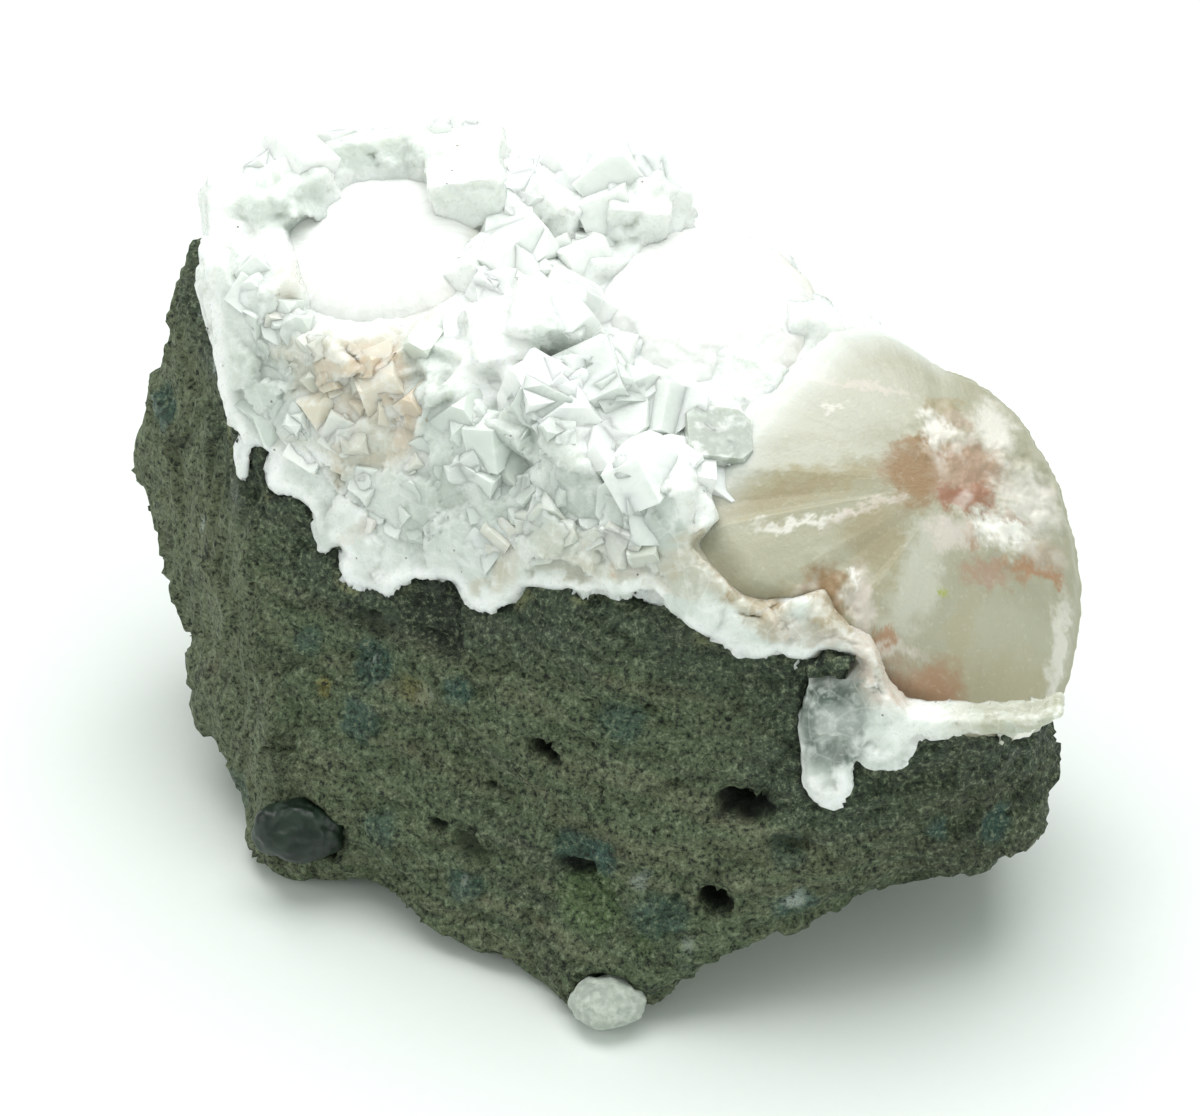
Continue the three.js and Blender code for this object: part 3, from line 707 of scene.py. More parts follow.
def crystal_faces(count):
    """The eleven faces of each crystal as lists of point numbers, each turned outwards."""
    faces = [[0, 12, 8, 4]]
    top = []
    for k in range(4):
        foot, along_x, along_y, down = range(4 * k, 4 * k + 4)
        nearer, other = (along_x, along_y) if k in (0, 2) else (along_y, along_x)
        after = 4 * ((k + 1) % 4)
        further = after + (1 if k in (0, 2) else 2)
        top += [other, nearer]
        faces.append([down, nearer, other])
        faces.append([foot, after, after + 3, further, nearer, down])
    faces.append(top)
    return [[number + 16 * k for number in face] for k in range(count) for face in faces]


def turns(angles):
    """Rotation matrices, about z first, then y, then x, from three angles in radians each."""
    (cx, cy, cz), (sx, sy, sz) = np.cos(angles).T, np.sin(angles).T
    none, one = np.zeros_like(cx), np.ones_like(cx)
    about_x = np.stack([one, none, none, none, cx, -sx, none, sx, cx], 1).reshape(-1, 3, 3)
    about_y = np.stack([cy, none, sy, none, one, none, -sy, none, cy], 1).reshape(-1, 3, 3)
    about_z = np.stack([cz, -sz, none, sz, cz, none, none, none, one], 1).reshape(-1, 3, 3)
    return about_x @ about_y @ about_z


def placed(crystals):
    """The points of a set of crystals: sizes and cuts, turned by their matrices, at their middles."""
    local = crystal_block(crystals["sizes"], crystals["cuts"])
    return np.einsum("nij,nkj->nki", crystals["turns"], local) + crystals["middles"][:, None]


print("one crystal has", len(crystal_faces(1)), "faces")

# %% [markdown]
# The large crystals stand where the CAD crust has them: place over the plan, width, height, turn
# about their own axis, and lean about x and y in degrees, with how deep they sit as a share of
# their width.

# %% Large crystals
LARGE = np.array([
    [-10.6, 0.4, 7.6, 6.4, 4, 38, -4, -0.12],
    [-15.6, 0.2, 4.6, 5.0, 30, 20, -18, 0.0],
    [-10.2, -3.8, 4.6, 4.2, 4, 62, -4, 0.1],
    [-5.8, -3.6, 5.0, 5.0, 40, 12, 16, 0.1],
    [-1.8, -7.2, 8.0, 8.0, 22, 30, 22, 0.0],
    [1.6, 2.2, 6.5, 6.0, 50, 10, -12, 0.2],
    [-3.2, 5.4, 6.0, 9.0, 15, -25, 30, 0.2],
    [4.4, -7.2, 7.0, 7.0, 62, 26, -14, 0.1],
    [-14.8, -7.4, 7.4, 6.5, 70, 26, -12, -0.05],
    [-12.6, -15.2, 7.0, 8.0, 34, 50, 14, -0.1],
    [-2.6, -14.6, 7.4, 7.4, 12, 34, -22, -0.14],
    [5.4, -17.4, 8.0, 7.6, 45, 30, 8, -0.14],
    [-6.6, -19.2, 5.0, 6.0, 20, 52, -16, -0.2],
    [11.4, -11.6, 6.5, 5.6, 58, 24, 18, 0.2],
    [9.2, -22.6, 5.4, 6.0, 45, 52, 0, -0.1],
    [-19.6, 1.2, 6.5, 5.5, 80, 16, -8, 0.2],
    [-26.4, -1.2, 6.6, 6.0, 25, 24, -16, 0.0],
    [-21.4, -6.4, 6.0, 6.0, 50, 34, 10, -0.1],
    [-31.4, 3.8, 6.5, 6.0, 60, 22, -24, 0.2],
    [-33.4, 9.8, 9.0, 6.5, 12, 12, -22, 0.15],
    [-32.2, 19.6, 9.5, 6.0, 35, -10, -20, 0.0],
    [-23.4, 24.6, 7.5, 6.0, 8, -24, -8, 0.0],
    [-14.8, 24.6, 9.0, 5.5, 55, -20, 8, 0.0],
    [-7.0, 20.2, 8.0, 7.0, 30, -14, 16, 0.2],
    [-8.8, 11.4, 7.5, 6.5, 72, 6, 20, 0.2],
    [0.4, 12.8, 6.5, 6.0, 18, -8, 10, 0.2],
    [3.6, 18.4, 7.5, 8.5, 40, -30, 20, 0.0],
    [15.6, -2.8, 6.5, 5.0, 66, 10, 20, 0.2],
    [19.6, 6.4, 6.0, 5.5, 20, -12, 22, 0.2],
])


def large_crystals():
    """The table as crystals: the middle's height is the crust's top less the sink."""
    x, y, width, height, turn, lean_x, lean_y, sink = LARGE.T
    return {
        "sizes": 1.03 * np.column_stack([width, width, height]),
        "cuts": 0.2 * width,
        "turns": turns(np.radians(np.column_stack([lean_x, lean_y, turn]))),
        "middles": np.column_stack([x, y, crust_top(x, y) - sink * width]),
    }


def on_skin(points, normals, count, smallest, spread, sunk, seed):
    """Crystals of random size and turn, each with its axis near the normal of a skin's point."""
    dice = np.random.default_rng(seed)
    pick = dice.choice(len(points), count, replace=False)
    facing = normals[pick] + dice.normal(0, 0.35, (count, 3))
    facing /= np.linalg.norm(facing, axis=1, keepdims=True)
    side = np.cross(facing, dice.normal(size=(count, 3)))
    side /= np.linalg.norm(side, axis=1, keepdims=True)
    width = smallest + spread * dice.random(count) ** 2
    sizes = width[:, None] * np.column_stack(
        [np.ones(count), dice.uniform(0.8, 1.25, count), dice.uniform(0.9, 1.5, count)]
    )
    return {
        "sizes": sizes,
        "cuts": width * dice.choice([0.08, 0.2, 0.35], count),
        "turns": np.stack([side, np.cross(facing, side), facing], 2),
        "middles": points[pick] - facing * (sunk * sizes[:, 2])[:, None],
    }


def both(first, second):
    """Two sets of crystals as one."""
    return {key: np.concatenate([first[key], second[key]]) for key in first}


print("large crystals", len(LARGE))

# %% [markdown]
# ## The crust
#
# The crust is a mass of intergrown, milky crystals. On top their blocky ends stand out; at the
# front the mass is broken through, so that it shows as flat patches of different tone, white,
# pale green and peach, with a cottony white lining at the bottom. Its ground is the CAD crust with
# its clefts closed, by growing the skin, remeshing it and shrinking it again. A slab behind the
# front carries it down to the contact line. The crystals are added, and one remesh melts all of
# it into a single skin.

# %% Crust surface
SLAB_TOP = [
    (43.2, 38.4), (41.5, 37.2), (36.3, 36.2), (31.7, 35.6), (29, 35.4), (27, 37), (25.5, 41),
    (22, 42), (18, 42), (10, 43.5), (5, 46), (0, 45.5), (-8, 44),
    (-14, 42.5), (-20, 41), (-25, 42.5), (-28, 45.5), (-31, 49), (-33.5, 53), (-36, 60),
]
# Half the width of the clefts that are closed, and the x at which the crust's crystals begin and
# past which the fan covers them.
CLEFT = 1.4
CRYSTALS_LEFT = -35
FAN_LEFT = 27


def slab(outline, front, back):
    """A slab between two surfaces that lie front and back mm past the broken front, as high as an
    outline across and up. The y of its points solves gap = front or back for the nearer plane."""
    sheets = []
    for gap in (front, back):
        sideways = (outline[:, [0]] - TOE[0]) * FRONT_NORMALS[:, 0]
        upwards = outline[:, [1]] * FRONT_NORMALS[:, 2]
        y = (TOE[1] + (gap - sideways - upwards) / FRONT_NORMALS[:, 1]).max(1)
        sheets.append(np.column_stack([outline[:, 0], y, outline[:, 1]]))
    count = len(outline)
    numbers = np.arange(count)
    after = (numbers + 1) % count
    sides = np.column_stack([numbers, numbers + count, after + count, after]).tolist()
    return np.vstack(sheets), [numbers.tolist(), (numbers[::-1] + count).tolist()] + sides


ground, ground_faces = remeshed(merged_copy("apophyllite_crust"), FIRST_VOXEL)
ground = ground + CLEFT * normals_of(ground, ground_faces)
ground, ground_faces = skin_over([(ground, ground_faces.tolist())], FIRST_VOXEL)
ground = relaxed(ground, ground_faces, 3)
ground_normals = normals_of(ground, ground_faces)
ground = pressed_back(ground - (CLEFT + 0.3) * ground_normals, 0.0)
ground_edge = distance_to(ground, basalt_points[::4], 8.0)
open_ground = (
    (past_balls(ground) > 1.5) & (ground_edge > 3.4)
    & (ground[:, 0] < FAN_LEFT) & (front_gap(ground)[0] < -2)
    & (ground[:, 2] > crust_top(ground[:, 0], ground[:, 1]) - 9) & (ground_normals[:, 2] > -0.2)
)
medium = on_skin(ground[open_ground], ground_normals[open_ground], 130, 3.0, 4.5, 0.5, 5)
crystals = both(large_crystals(), medium)
crystal_points = pressed_back(placed(crystals).reshape(-1, 3), -0.4)
front_slab = slab(np.array(CONTACT + SLAB_TOP), 0.1, -3.0)
crystal_count = len(crystals["sizes"])
crust_points, crust_faces = skin_over([
    (ground, ground_faces.tolist()), front_slab, (crystal_points, crystal_faces(crystal_count)),
], CRUST_VOXEL)
print("mass", len(crust_points), "points from", crystal_count, "crystals")

# %% [markdown]
# Which crystal a point of the skin belongs to: in each crystal's own frame the largest of its
# three overhangs past the half sizes is negative inside it. The smallest over all crystals wins.

# %% Crystal numbers and relief
def owner_of(points, crystals):
    """The number of the crystal that each point is in or nearest to, and how far outside it is."""
    best = np.full(len(points), 9.0)
    owner = np.zeros(len(points), int)
    for number, (middle, turn, size) in enumerate(
        zip(crystals["middles"], crystals["turns"], crystals["sizes"])
    ):
        close = np.flatnonzero((np.abs(points - middle) < 0.9 * size.max() + 1).all(1))
        outside = (np.abs((points[close] - middle) @ turn) - size / 2).max(1)
        better = outside < best[close]
        best[close[better]] = outside[better]
        owner[close[better]] = number
    return owner, best


def filled_round(points, ball):
    """Points lifted round a ball, so that it sits in the mass: up to a plane 2 mm over the ball's
    rim, wholly within a millimetre of the rim and not at all from 4.5 mm past it."""
    facing = np.array(ball["facing"]) / np.linalg.norm(ball["facing"])
    away = points - ball["centre"]
    over_rim = away @ facing
    from_middle = np.linalg.norm(away - over_rim[:, None] * facing, axis=1) - ball["radius"]
    share = (1 - smooth_step(from_middle, 1.0, 4.5)) * smooth_step(over_rim, -5, -3)
    return points + facing * (share * np.maximum(0, 2.0 - over_rim))[:, None]


for ball in BALLS:
    crust_points = filled_round(crust_points, ball)
crust_points = shifted(
    crust_points, [(46.4, -17, 38, 10, -2.8, 0, 0), (33, 4, 52, 8, -1.5, -1, -1)]
)
owner, outside = owner_of(crust_points, crystals)
crust_gap, crust_way = front_gap(crust_points)
crust_normals = normals_of(crust_points, crust_faces)
reached = smooth_step(crust_gap, -2.4, -1.2)
flush = reached * smooth_step((crust_normals * crust_way).sum(1), 0.2, 0.6)
in_front = np.full(len(crust_points), 9.0)
near = crust_gap > NEAR_FRONT
in_front[near] = depth_inside(CRUST_FRONT, crust_points[near][:, [0, 2]])
crust_warp = crust_points + 0.5 * waves(crust_points, 3, 21)[:, None]
in_crystal = (outside < 0.3) & (flush < 0.5)
front_number = cells(crust_warp, 5.5, 22)[2]
block_number = np.where(in_crystal, owner % 256, front_number)
bit_number = cells(crust_points, 2.2, 23)[2]
lining = (1 - smooth_step(in_front, 0.7, 1.9)) * flush
cotton = cells(crust_warp, 2.6, 26)[0] / 2.6
front_height = 0.25 - 1.1 * (1 - smooth_step(in_front, -0.3, 0.5))
shift = np.where(
    in_front > -0.3, flush * (front_height - crust_gap), reached * (-2.2 - crust_gap)
)
crust_points = crust_points + crust_way * shift[:, None]
evened = relaxed(crust_points, crust_faces, 7)
crust_points = crust_points + (0.9 * flush)[:, None] * (evened - crust_points)
crust_normals = normals_of(crust_points, crust_faces)
wall = smooth_step(crust_normals[:, 2], 0.5, 0.2) * (1 - flush)
crust_relief = (
    (0.02 + 0.04 * (1 - in_crystal)) * facets(crust_points, 2.2, 23)
    + 0.03 * layered(crust_points, 1.6, 3, 24)
    + wall * (0.12 * facets(crust_warp, 5.5, 28) + 0.2 * layered(crust_points, 5, 2, 29))
    + flush * (1 - lining) * 0.17 * facets(crust_warp, 5.5, 22)
    + flush * (1 - lining) * 0.05 * facets(crust_points, 2.2, 23)
    + flush * lining * 0.9 * (0.35 - cotton**2)
)
crust_points = crust_points + crust_normals * crust_relief[:, None]
# How deep each point lies in a hollow, for the painted shade in the hollows.
hollow = ((relaxed(crust_points, crust_faces, 14) - crust_points) * crust_normals).sum(1)
print("crust", len(crust_points), "points, hollows to", hollow.max().round(2), "mm")

# %% [markdown]
# The tones of the crust are a table of blocky patches, measured across and up as one sees the
# front from 38 degrees above the table: place, half width, half height, tilt in degrees, colour,
# and how much of it. Their edges follow the small bits, so that they look like broken crystals.
# Painted shade then darkens the broken front towards its bottom, and the hollows between crystals.

# %% Crust colours
SNOW = (0.95, 0.955, 0.945)
PEARL = (0.88, 0.89, 0.87)
FROST = (0.70, 0.73, 0.70)
MIST = (0.63, 0.68, 0.63)
SMOKE = (0.49, 0.53, 0.49)
TAN = (0.54, 0.48, 0.37)
PEACH = (0.62, 0.49, 0.36)
BLUSH = (0.62, 0.43, 0.29)
ROSE = (0.58, 0.47, 0.39)
OCHRE = (0.38, 0.28, 0.155)
RUSSET = (0.38, 0.21, 0.10)
PITCH = (0.16, 0.19, 0.14)
SLATE = (0.09, 0.125, 0.105)
FRONT_SHADE = (0.54, 0.58, 0.54)
LEAD = (0.50, 0.54, 0.48)
HOLLOW_SHADE = (0.50, 0.53, 0.48)
CLAY = (0.42, 0.42, 0.33)
CRUST_PATCHES = [
    (-31.3, 58.3, 4.9, 2.9, 12, MIST, 0.7),
    (-21.3, 63.5, 7.4, 1.2, 4, MIST, 0.6),
    (-32.9, 54.4, 4.3, 1.4, -8, SNOW, 1),
    (-34.7, 50.8, 3.3, 2.7, -15, FROST, 0.8),
    (-29.8, 45.9, 3.7, 2.3, 0, FROST, 0.6),
    (-37.8, 43.1, 1.4, 6.9, 4, SNOW, 0.8),
    (-32.6, 39.9, 2.5, 4.3, 0, SMOKE, 0.75),
    (-28.8, 43.6, 2.9, 1.7, 10, TAN, 0.7),
    (-24.5, 42.5, 6.2, 2.8, 6, TAN, 0.85),
    (-22.5, 37.8, 5.0, 6.2, 0, PEACH, 0.95),
    (-20.7, 39.7, 1.9, 4.2, 0, BLUSH, 0.5),
    (-27.1, 36.3, 1.9, 1.9, 20, FROST, 0.6),
    (-29.1, 33.9, 3.9, 1.4, -20, TAN, 0.45),
    (-25.4, 30.9, 0.9, 1.4, 20, TAN, 0.9),
    (-29.8, 31.9, 3.1, 2.5, 0, SNOW, 1),
    (-22.4, 28.4, 3.9, 3.7, 10, PEARL, 0.9),
    (-22.5, 22.2, 2.9, 2.9, 0, SNOW, 0.7),
    (-24.1, 26.3, 1.4, 0.9, 30, ROSE, 0.5),
    (-14.7, 28.3, 3.6, 3.3, -10, SMOKE, 0.9),
    (-16.6, 43.5, 2.3, 2.1, 0, MIST, 0.7),
    (-16.5, 39.2, 2.1, 2.0, 0, SMOKE, 0.8),
    (-10.2, 43.3, 3.9, 2.8, 0, SNOW, 1),
    (-11.7, 38.8, 2.4, 2.0, 0, SNOW, 1),
    (-7.9, 38.5, 1.9, 1.4, 30, SMOKE, 0.8),
    (-4.9, 44.3, 1.7, 2.3, 0, MIST, 0.7),
    (-1.8, 43.2, 2.7, 1.4, -10, SMOKE, 0.9),
    (-2.2, 34.5, 3.6, 2.8, -12, PEARL, 0.9),
    (-1.0, 39.5, 3.6, 2.4, 10, SNOW, 0.6),
    (5.2, 37.2, 4.2, 3.2, 0, FROST, 0.7),
    (-11.3, 34.6, 5.3, 3.1, 8, MIST, 0.8),
    (-2.5, 29.2, 4.9, 2.4, -12, SMOKE, 0.8),
    (-9.4, 29.1, 1.3, 3.8, 12, MIST, 0.8),
    (-13.8, 24.9, 2.9, 2.3, -10, FROST, 0.7),
    (6.0, 25.2, 3.2, 2.5, -40, SMOKE, 0.9),
    (1.2, 23.4, 8.5, 2.5, -8, TAN, 0.6),
    (-3.7, 22.4, 3.8, 1.5, -5, TAN, 0.4),
    (2.7, 22.4, 1.7, 1.1, 0, ROSE, 0.8),
    (0.8, 22.2, 0.5, 0.6, 0, BLUSH, 0.9),
    (-9.2, 23.0, 1.6, 2.6, -10, TAN, 0.8),
    (-12.0, 20.5, 1.1, 1.2, 0, TAN, 0.8),
    (-10.1, 19.3, 2.9, 1.2, 0, PEARL, 0.9),
    (-3.3, 21.3, 3.8, 0.6, -6, SNOW, 0.8),
    (3.9, 20.5, 2.5, 0.7, 4, SNOW, 0.8),
    (8.7, 27.5, 1.6, 1.6, -40, SNOW, 0.9),
    (9.4, 23.7, 2.4, 2.4, 45, TAN, 0.9),
    (9.0, 21.3, 1.9, 1.9, 0, TAN, 0.7),
    (11.2, 17.5, 3.0, 1.7, -32, PEARL, 0.8),
    (14.1, 20.0, 4.0, 1.7, -25, OCHRE, 0.95),
    (16.0, 17.4, 3.0, 1.4, -15, OCHRE, 0.8),
    (20.1, 16.6, 3.2, 1.9, 0, ROSE, 0.7),
    (21.7, 19.3, 2.4, 3.0, 0, OCHRE, 0.9),
    (13.6, 14.7, 2.8, 0.8, -8, SNOW, 0.7),
    (18.8, 14.7, 2.8, 0.7, 0, SNOW, 0.7),
    (26.6, 14.0, 3.2, 4.3, 0, ROSE, 0.8),
    (28.1, 16.0, 1.0, 0.8, 0, RUSSET, 0.9),
    (10.0, 36.3, 0.8, 1.0, 20, PITCH, 0.8),
    (10.9, 35.5, 0.5, 0.4, 0, PITCH, 0.8),
    (9.3, 37.3, 0.5, 0.4, 0, SMOKE, 0.9),
    (7.0, 29.7, 0.3, 0.3, 0, PITCH, 0.5),
    (2.0, 40.1, 2.9, 2.1, 0, MIST, 0.5),
    (22.3, 8.3, 3.2, 4.2, 0, SLATE, 0.9),
    (21.5, 9.8, 2.0, 1.6, 0, SLATE, 0.9),
    (21.5, 1.6, 2.1, 1.9, 0, SNOW, 0.9),
    (26.5, 6.0, 2.5, 1.7, 20, SNOW, 0.7),
    (34.2, 8.0, 6.5, 1.5, 4, PEARL, 0.8),
    (-17.0, 46.5, 2.1, 1.2, 25, TAN, 0.4),
    (-29.9, 50.1, 1.5, 2.7, -10, TAN, 0.35),
    (-30.0, 48.6, 0.8, 0.8, 0, OCHRE, 0.4),
    (12.5, 38.7, 3.8, 2.9, 0, SNOW, 0.5),
    (0.1, 27.1, 1.5, 0.9, 0, SNOW, 0.5),
    (4.4, 30.8, 1.3, 0.7, 0, SNOW, 0.8),
    (-7.5, 28.7, 1.0, 1.1, 0, PEARL, 0.9),
]
VIEW_UP = np.array([0, np.sin(np.radians(VIEW_TILT)), np.cos(np.radians(VIEW_TILT))])
tones = np.random.default_rng(7).random(256)
bit_shift = lattice(23)[1][bit_number]
seen_across = crust_points[:, 0] + 0.6 * bit_shift[:, 0] + 0.4 * waves(crust_points, 2.5, 31)
seen_up = crust_points @ VIEW_UP + 0.6 * bit_shift[:, 1] + 0.4 * waves(crust_points, 2.5, 32)
crust_colour = over(
    np.broadcast_to(PEARL, crust_points.shape),
    (SNOW, 0.8 * tones[block_number]),
    (MIST, (0.3 + 0.5 * flush) * tones[(block_number + 60) % 256] ** 2),
    # Painted shade: the broken front greyer and darker towards its bottom, where less light falls.
    (FRONT_SHADE, 0.7 * smooth_step(seen_up, 40, 24) * flush),
)
for place_across, place_up, half_wide, half_tall, tilt, colour, share in CRUST_PATCHES:
    out = out_from(
        seen_across - place_across, seen_up - place_up, half_wide, half_tall, tilt, power=4
    )
    crust_colour = over(crust_colour, (colour, share * (1 - smooth_step(out, 0.75, 1.2))))
broken = flush * (1 - lining)
in_tongue = smooth_step(crust_points[:, 0], 17, 19)
right_end = smooth_step(crust_points[:, 0], 30, 36)
cottony = (1 - in_tongue) * lining * smooth_step(waves(crust_points, 4, 34), -0.6, 0.2)
crust_colour = over(
    crust_colour,
    (LEAD, 0.5 * broken * tones[(block_number + 9) % 256] ** 2),
    (SNOW, 0.5 * broken * tones[(bit_number + 30) % 256] ** 3),
    (MIST, (0.15 + 0.25 * flush) * tones[bit_number] * (1 - lining)),
    (SNOW, 0.75 * cottony),
    # Painted shade in the hollows between the crystals.
    (HOLLOW_SHADE, 0.5 * smooth_step(hollow, 0.10, 0.5)),
    (CLAY, right_end * (0.75 + 0.25 * tones[bit_number])),
)
print("patches", len(CRUST_PATCHES))

# %% [markdown]
# The crystals' own faces are crisp and glassy, so each crystal that stands out of the mass is also
# set down on its own, with flat faces, over the soft shape of the skin. On top they are blocks,
# kept off the balls, the fan and the contact line; at the broken front they are sunk further, so
# that only slanting facets show. The clearest of the large ones is kept free of small ones, and
# large ones that would reach over the contact line, into a ball or into the fan are left to the
# skin. Right of ROUGH_END the front is smooth, so only ground well behind it bears small crystals,
# and none past SHELTERED_END. Each crystal takes the colour of the skin under it, a little lighter
# or darker from one to the next.

# %% Crisp crystals
PROUD = 0.9
ROUGH_END = 7
SHELTERED_END = 13
skin_x = crust_points[:, 0]
room = (skin_x > CRYSTALS_LEFT) & (skin_x < FAN_LEFT) & (lining < 0.2)
on_top = room & (flush < 0.1) & (crust_normals[:, 2] > 0.3)
on_top &= (past_balls(crust_points) > 3.0) & (crust_gap < -1.5)
on_top &= np.hypot(*(crust_points[:, :2] - LARGE[0, :2]).T) > 5.5
on_top &= (skin_x < ROUGH_END) | ((skin_x < SHELTERED_END) & (crust_gap < -9))
on_top &= depth_inside(CRUST_FRONT, crust_points[:, [0, 2]]) > 4.0
on_top &= crust_points[:, 2] > crust_top(skin_x, crust_points[:, 1]) - 5
on_front = room & (flush > 0.6) & (in_front > 3.3) & (skin_x < ROUGH_END)
large = large_crystals()
large["sizes"] = large["sizes"] * 1.04
large_corners = placed(large).reshape(-1, 3)
corner_gap = front_gap(large_corners)[0]
over_line = (corner_gap > -3) & (depth_inside(CRUST_FRONT, large_corners[:, [0, 2]]) < 1.0)
standing = ~(over_line | (corner_gap > 1.2)).reshape(len(LARGE), -1).any(1)
standing &= past_balls(large["middles"]) > 0.62 * large["sizes"][:, 0]
standing &= large["middles"][:, 0] < 14
large = {key: value[standing] for key, value in large.items()}
crisp = both(large, both(
    on_skin(crust_points[on_top], crust_normals[on_top], 125, 2.4, 4.2, 0.42, 41),
    on_skin(crust_points[on_front], crust_normals[on_front], 100, 1.8, 3.4, 0.53, 42),
))
crisp_points = pressed_back(placed(crisp).reshape(-1, 3), PROUD)
seen_ends = crisp["middles"] + 0.45 * crisp["turns"][:, :, 2] * crisp["sizes"][:, [2]]
under = np.array([np.square(crust_points - end).sum(1).argmin() for end in seen_ends])
shade = np.random.default_rng(9).uniform(0.97, 1.17, len(under))
clear_crystals = add_object(
    "crisp_crystals", crisp_points, crystal_faces(len(under)), smooth=False
)
add_values(clear_crystals, "crystal_colour", np.repeat(
    np.clip(crust_colour[under] * shade[:, None], 0.30, 0.97), 16, axis=0
))
print("crisp crystals", len(under))

# %% [markdown]
# ## Discs of fibres
#
# The fan and the two balls are built alike: fibres that radiate from a core. Each is a grid round
# the core, with rings from the middle to the rim and then down under it, so that it closes. Fine
# ribs come from noise that hardly changes along a ray but fast across it.

# %% Polar grids
def disc(name, rings, place):
    """A closed disc from an array of rings, (rings, around, 3), with a point at each end.
    place turns local points (across, up, out) into the block's frame."""
    ring_count, around = rings.shape[:2]
    ends = rings[[0, -1]].mean(1)
    points = place(np.vstack([rings.reshape(-1, 3), ends]))
    start = np.arange(around)
    after = (start + 1) % around
    level = around * np.arange(ring_count - 1)[:, None]
    quads = np.stack([level + start, level + around + start, level + around + after, level + after], 2)
    top, bottom = ring_count * around, ring_count * around + 1
    last = (ring_count - 1) * around
    caps = np.vstack([
        np.column_stack([np.full(around, top), start, after]),
        np.column_stack([np.full(around, bottom), last + after, last + start]),
    ])
    return add_object(name, points, quads.reshape(-1, 4).tolist() + caps.tolist())


def round_table(table, angles):
    """Reads a table of (angle in degrees, value) rows at some angles, in straight lines between."""
    table = np.array(table)
    return np.interp(angles % 360, table[:, 0], table[:, 1], period=360)


def ray_noise(angles, shares, across, along, seed):
    """Ribs: waves that are across degrees wide and change along a ray every `along` of its length."""
    turn = np.radians(angles)
    wheel = np.stack([np.cos(turn), np.sin(turn)], -1) * np.degrees(1) / across
    points = np.concatenate([wheel, (shares / along)[..., None]], -1)
    return waves(points.reshape(-1, 3), 1.0, seed).reshape(shares.shape)


print("halfway between 1 and 3:", round_table([(0, 1), (180, 3)], np.array([90.0])))

# %% [markdown]
# The fan is a bundle of stilbite sheaves that fell open like a book. Its outline and the lift of
# its sheaves are tables round the circle, counted in degrees from the right. It crumbles in three
# places: right of the core, above it and low on the left.

# %% Fan shape
FAN_CORE = np.array([33.1, -13.4, 49.2])
FAN_FACING = np.array([0.25, -0.5, 0.83]) / np.linalg.norm([0.25, -0.5, 0.83])
FAN_RIGHT = np.array([1, 0, 0]) - FAN_FACING[0] * FAN_FACING
FAN_RIGHT /= np.linalg.norm(FAN_RIGHT)
FAN_UP = np.cross(FAN_FACING, FAN_RIGHT)
FAN_OUTLINE = [
    (0, 13.8), (32, 12.4), (86, 14.2), (106, 18.6), (119, 19.6), (137, 18.4), (162, 20.4), (180, 23),
    (189, 24.8), (199, 24), (209, 23.4), (214, 21.6), (222, 17.8), (245, 18.6), (265, 21),
    (283, 23), (298, 23.4), (309, 22.2), (321, 19.8), (345, 15.6),
]
FAN_BEND = [(0, 26), (90, 32), (150, 60), (200, 70), (240, 36), (290, 30), (330, 26)]
FAN_SHEAVES = [
    (0, -0.5), (30, 0.4), (92, 0.2), (98, 0.9), (150, 0.3), (178, 0.9), (187, -0.7), (191, -0.5),
    (193, 1), (212, 0.7), (219, -1), (232, -0.6), (236, 0.4), (256, -0.4), (262, 0.6), (318, 0.3),
    (324, -0.8),
]
FAN_AROUND = 720
fan_shares = np.concatenate([np.linspace(0.01, 0.9, 88), np.linspace(0.908, 1, 14)])
fan_angles, fan_share = np.meshgrid(np.arange(FAN_AROUND) * 360 / FAN_AROUND, fan_shares)
fan_reach = round_table(FAN_OUTLINE, fan_angles)
blades = (
    ray_noise(fan_angles, fan_share * 0, 5, 1, 31)
    + 0.6 * ray_noise(fan_angles, fan_share * 0, 2, 1, 32)
)
fan_radius = fan_share * (fan_reach + 0.25 * blades * fan_share**2)
fan_drop = fan_radius**2 / (2 * round_table(FAN_BEND, fan_angles))
fan_lift = 0.35 * round_table(FAN_SHEAVES, fan_angles) * smooth_step(fan_share, 0.15, 0.8)
fan_ribs = fan_share * (
    0.12 * ray_noise(fan_angles, fan_share, 16, 0.35, 33)
    + 0.04 * ray_noise(fan_angles, fan_share, 4, 0.2, 34)
    + 0.02 * ray_noise(fan_angles, fan_share, 1.3, 0.12, 35)
)
fan_rim = 1.4 * smooth_step(fan_share, 0.88, 1)
fan_across = fan_radius * np.cos(np.radians(fan_angles))
fan_up = fan_radius * np.sin(np.radians(fan_angles))
fan_flat = np.stack([fan_across, fan_up, fan_share * 0], -1).reshape(-1, 3)


def crumbly(across, up, radius, fade, seed):
    """1 inside a ragged blot in the fan's plane, at a place in mm from the core, 0 outside it."""
    right = fan_flat[:, 0] + waves(fan_flat, 4, seed) - across
    above = fan_flat[:, 1] + waves(fan_flat, 4, seed + 1) - up
    away = np.hypot(right, above).reshape(fan_share.shape)
    return 1 - smooth_step(away, radius - fade, radius + fade)


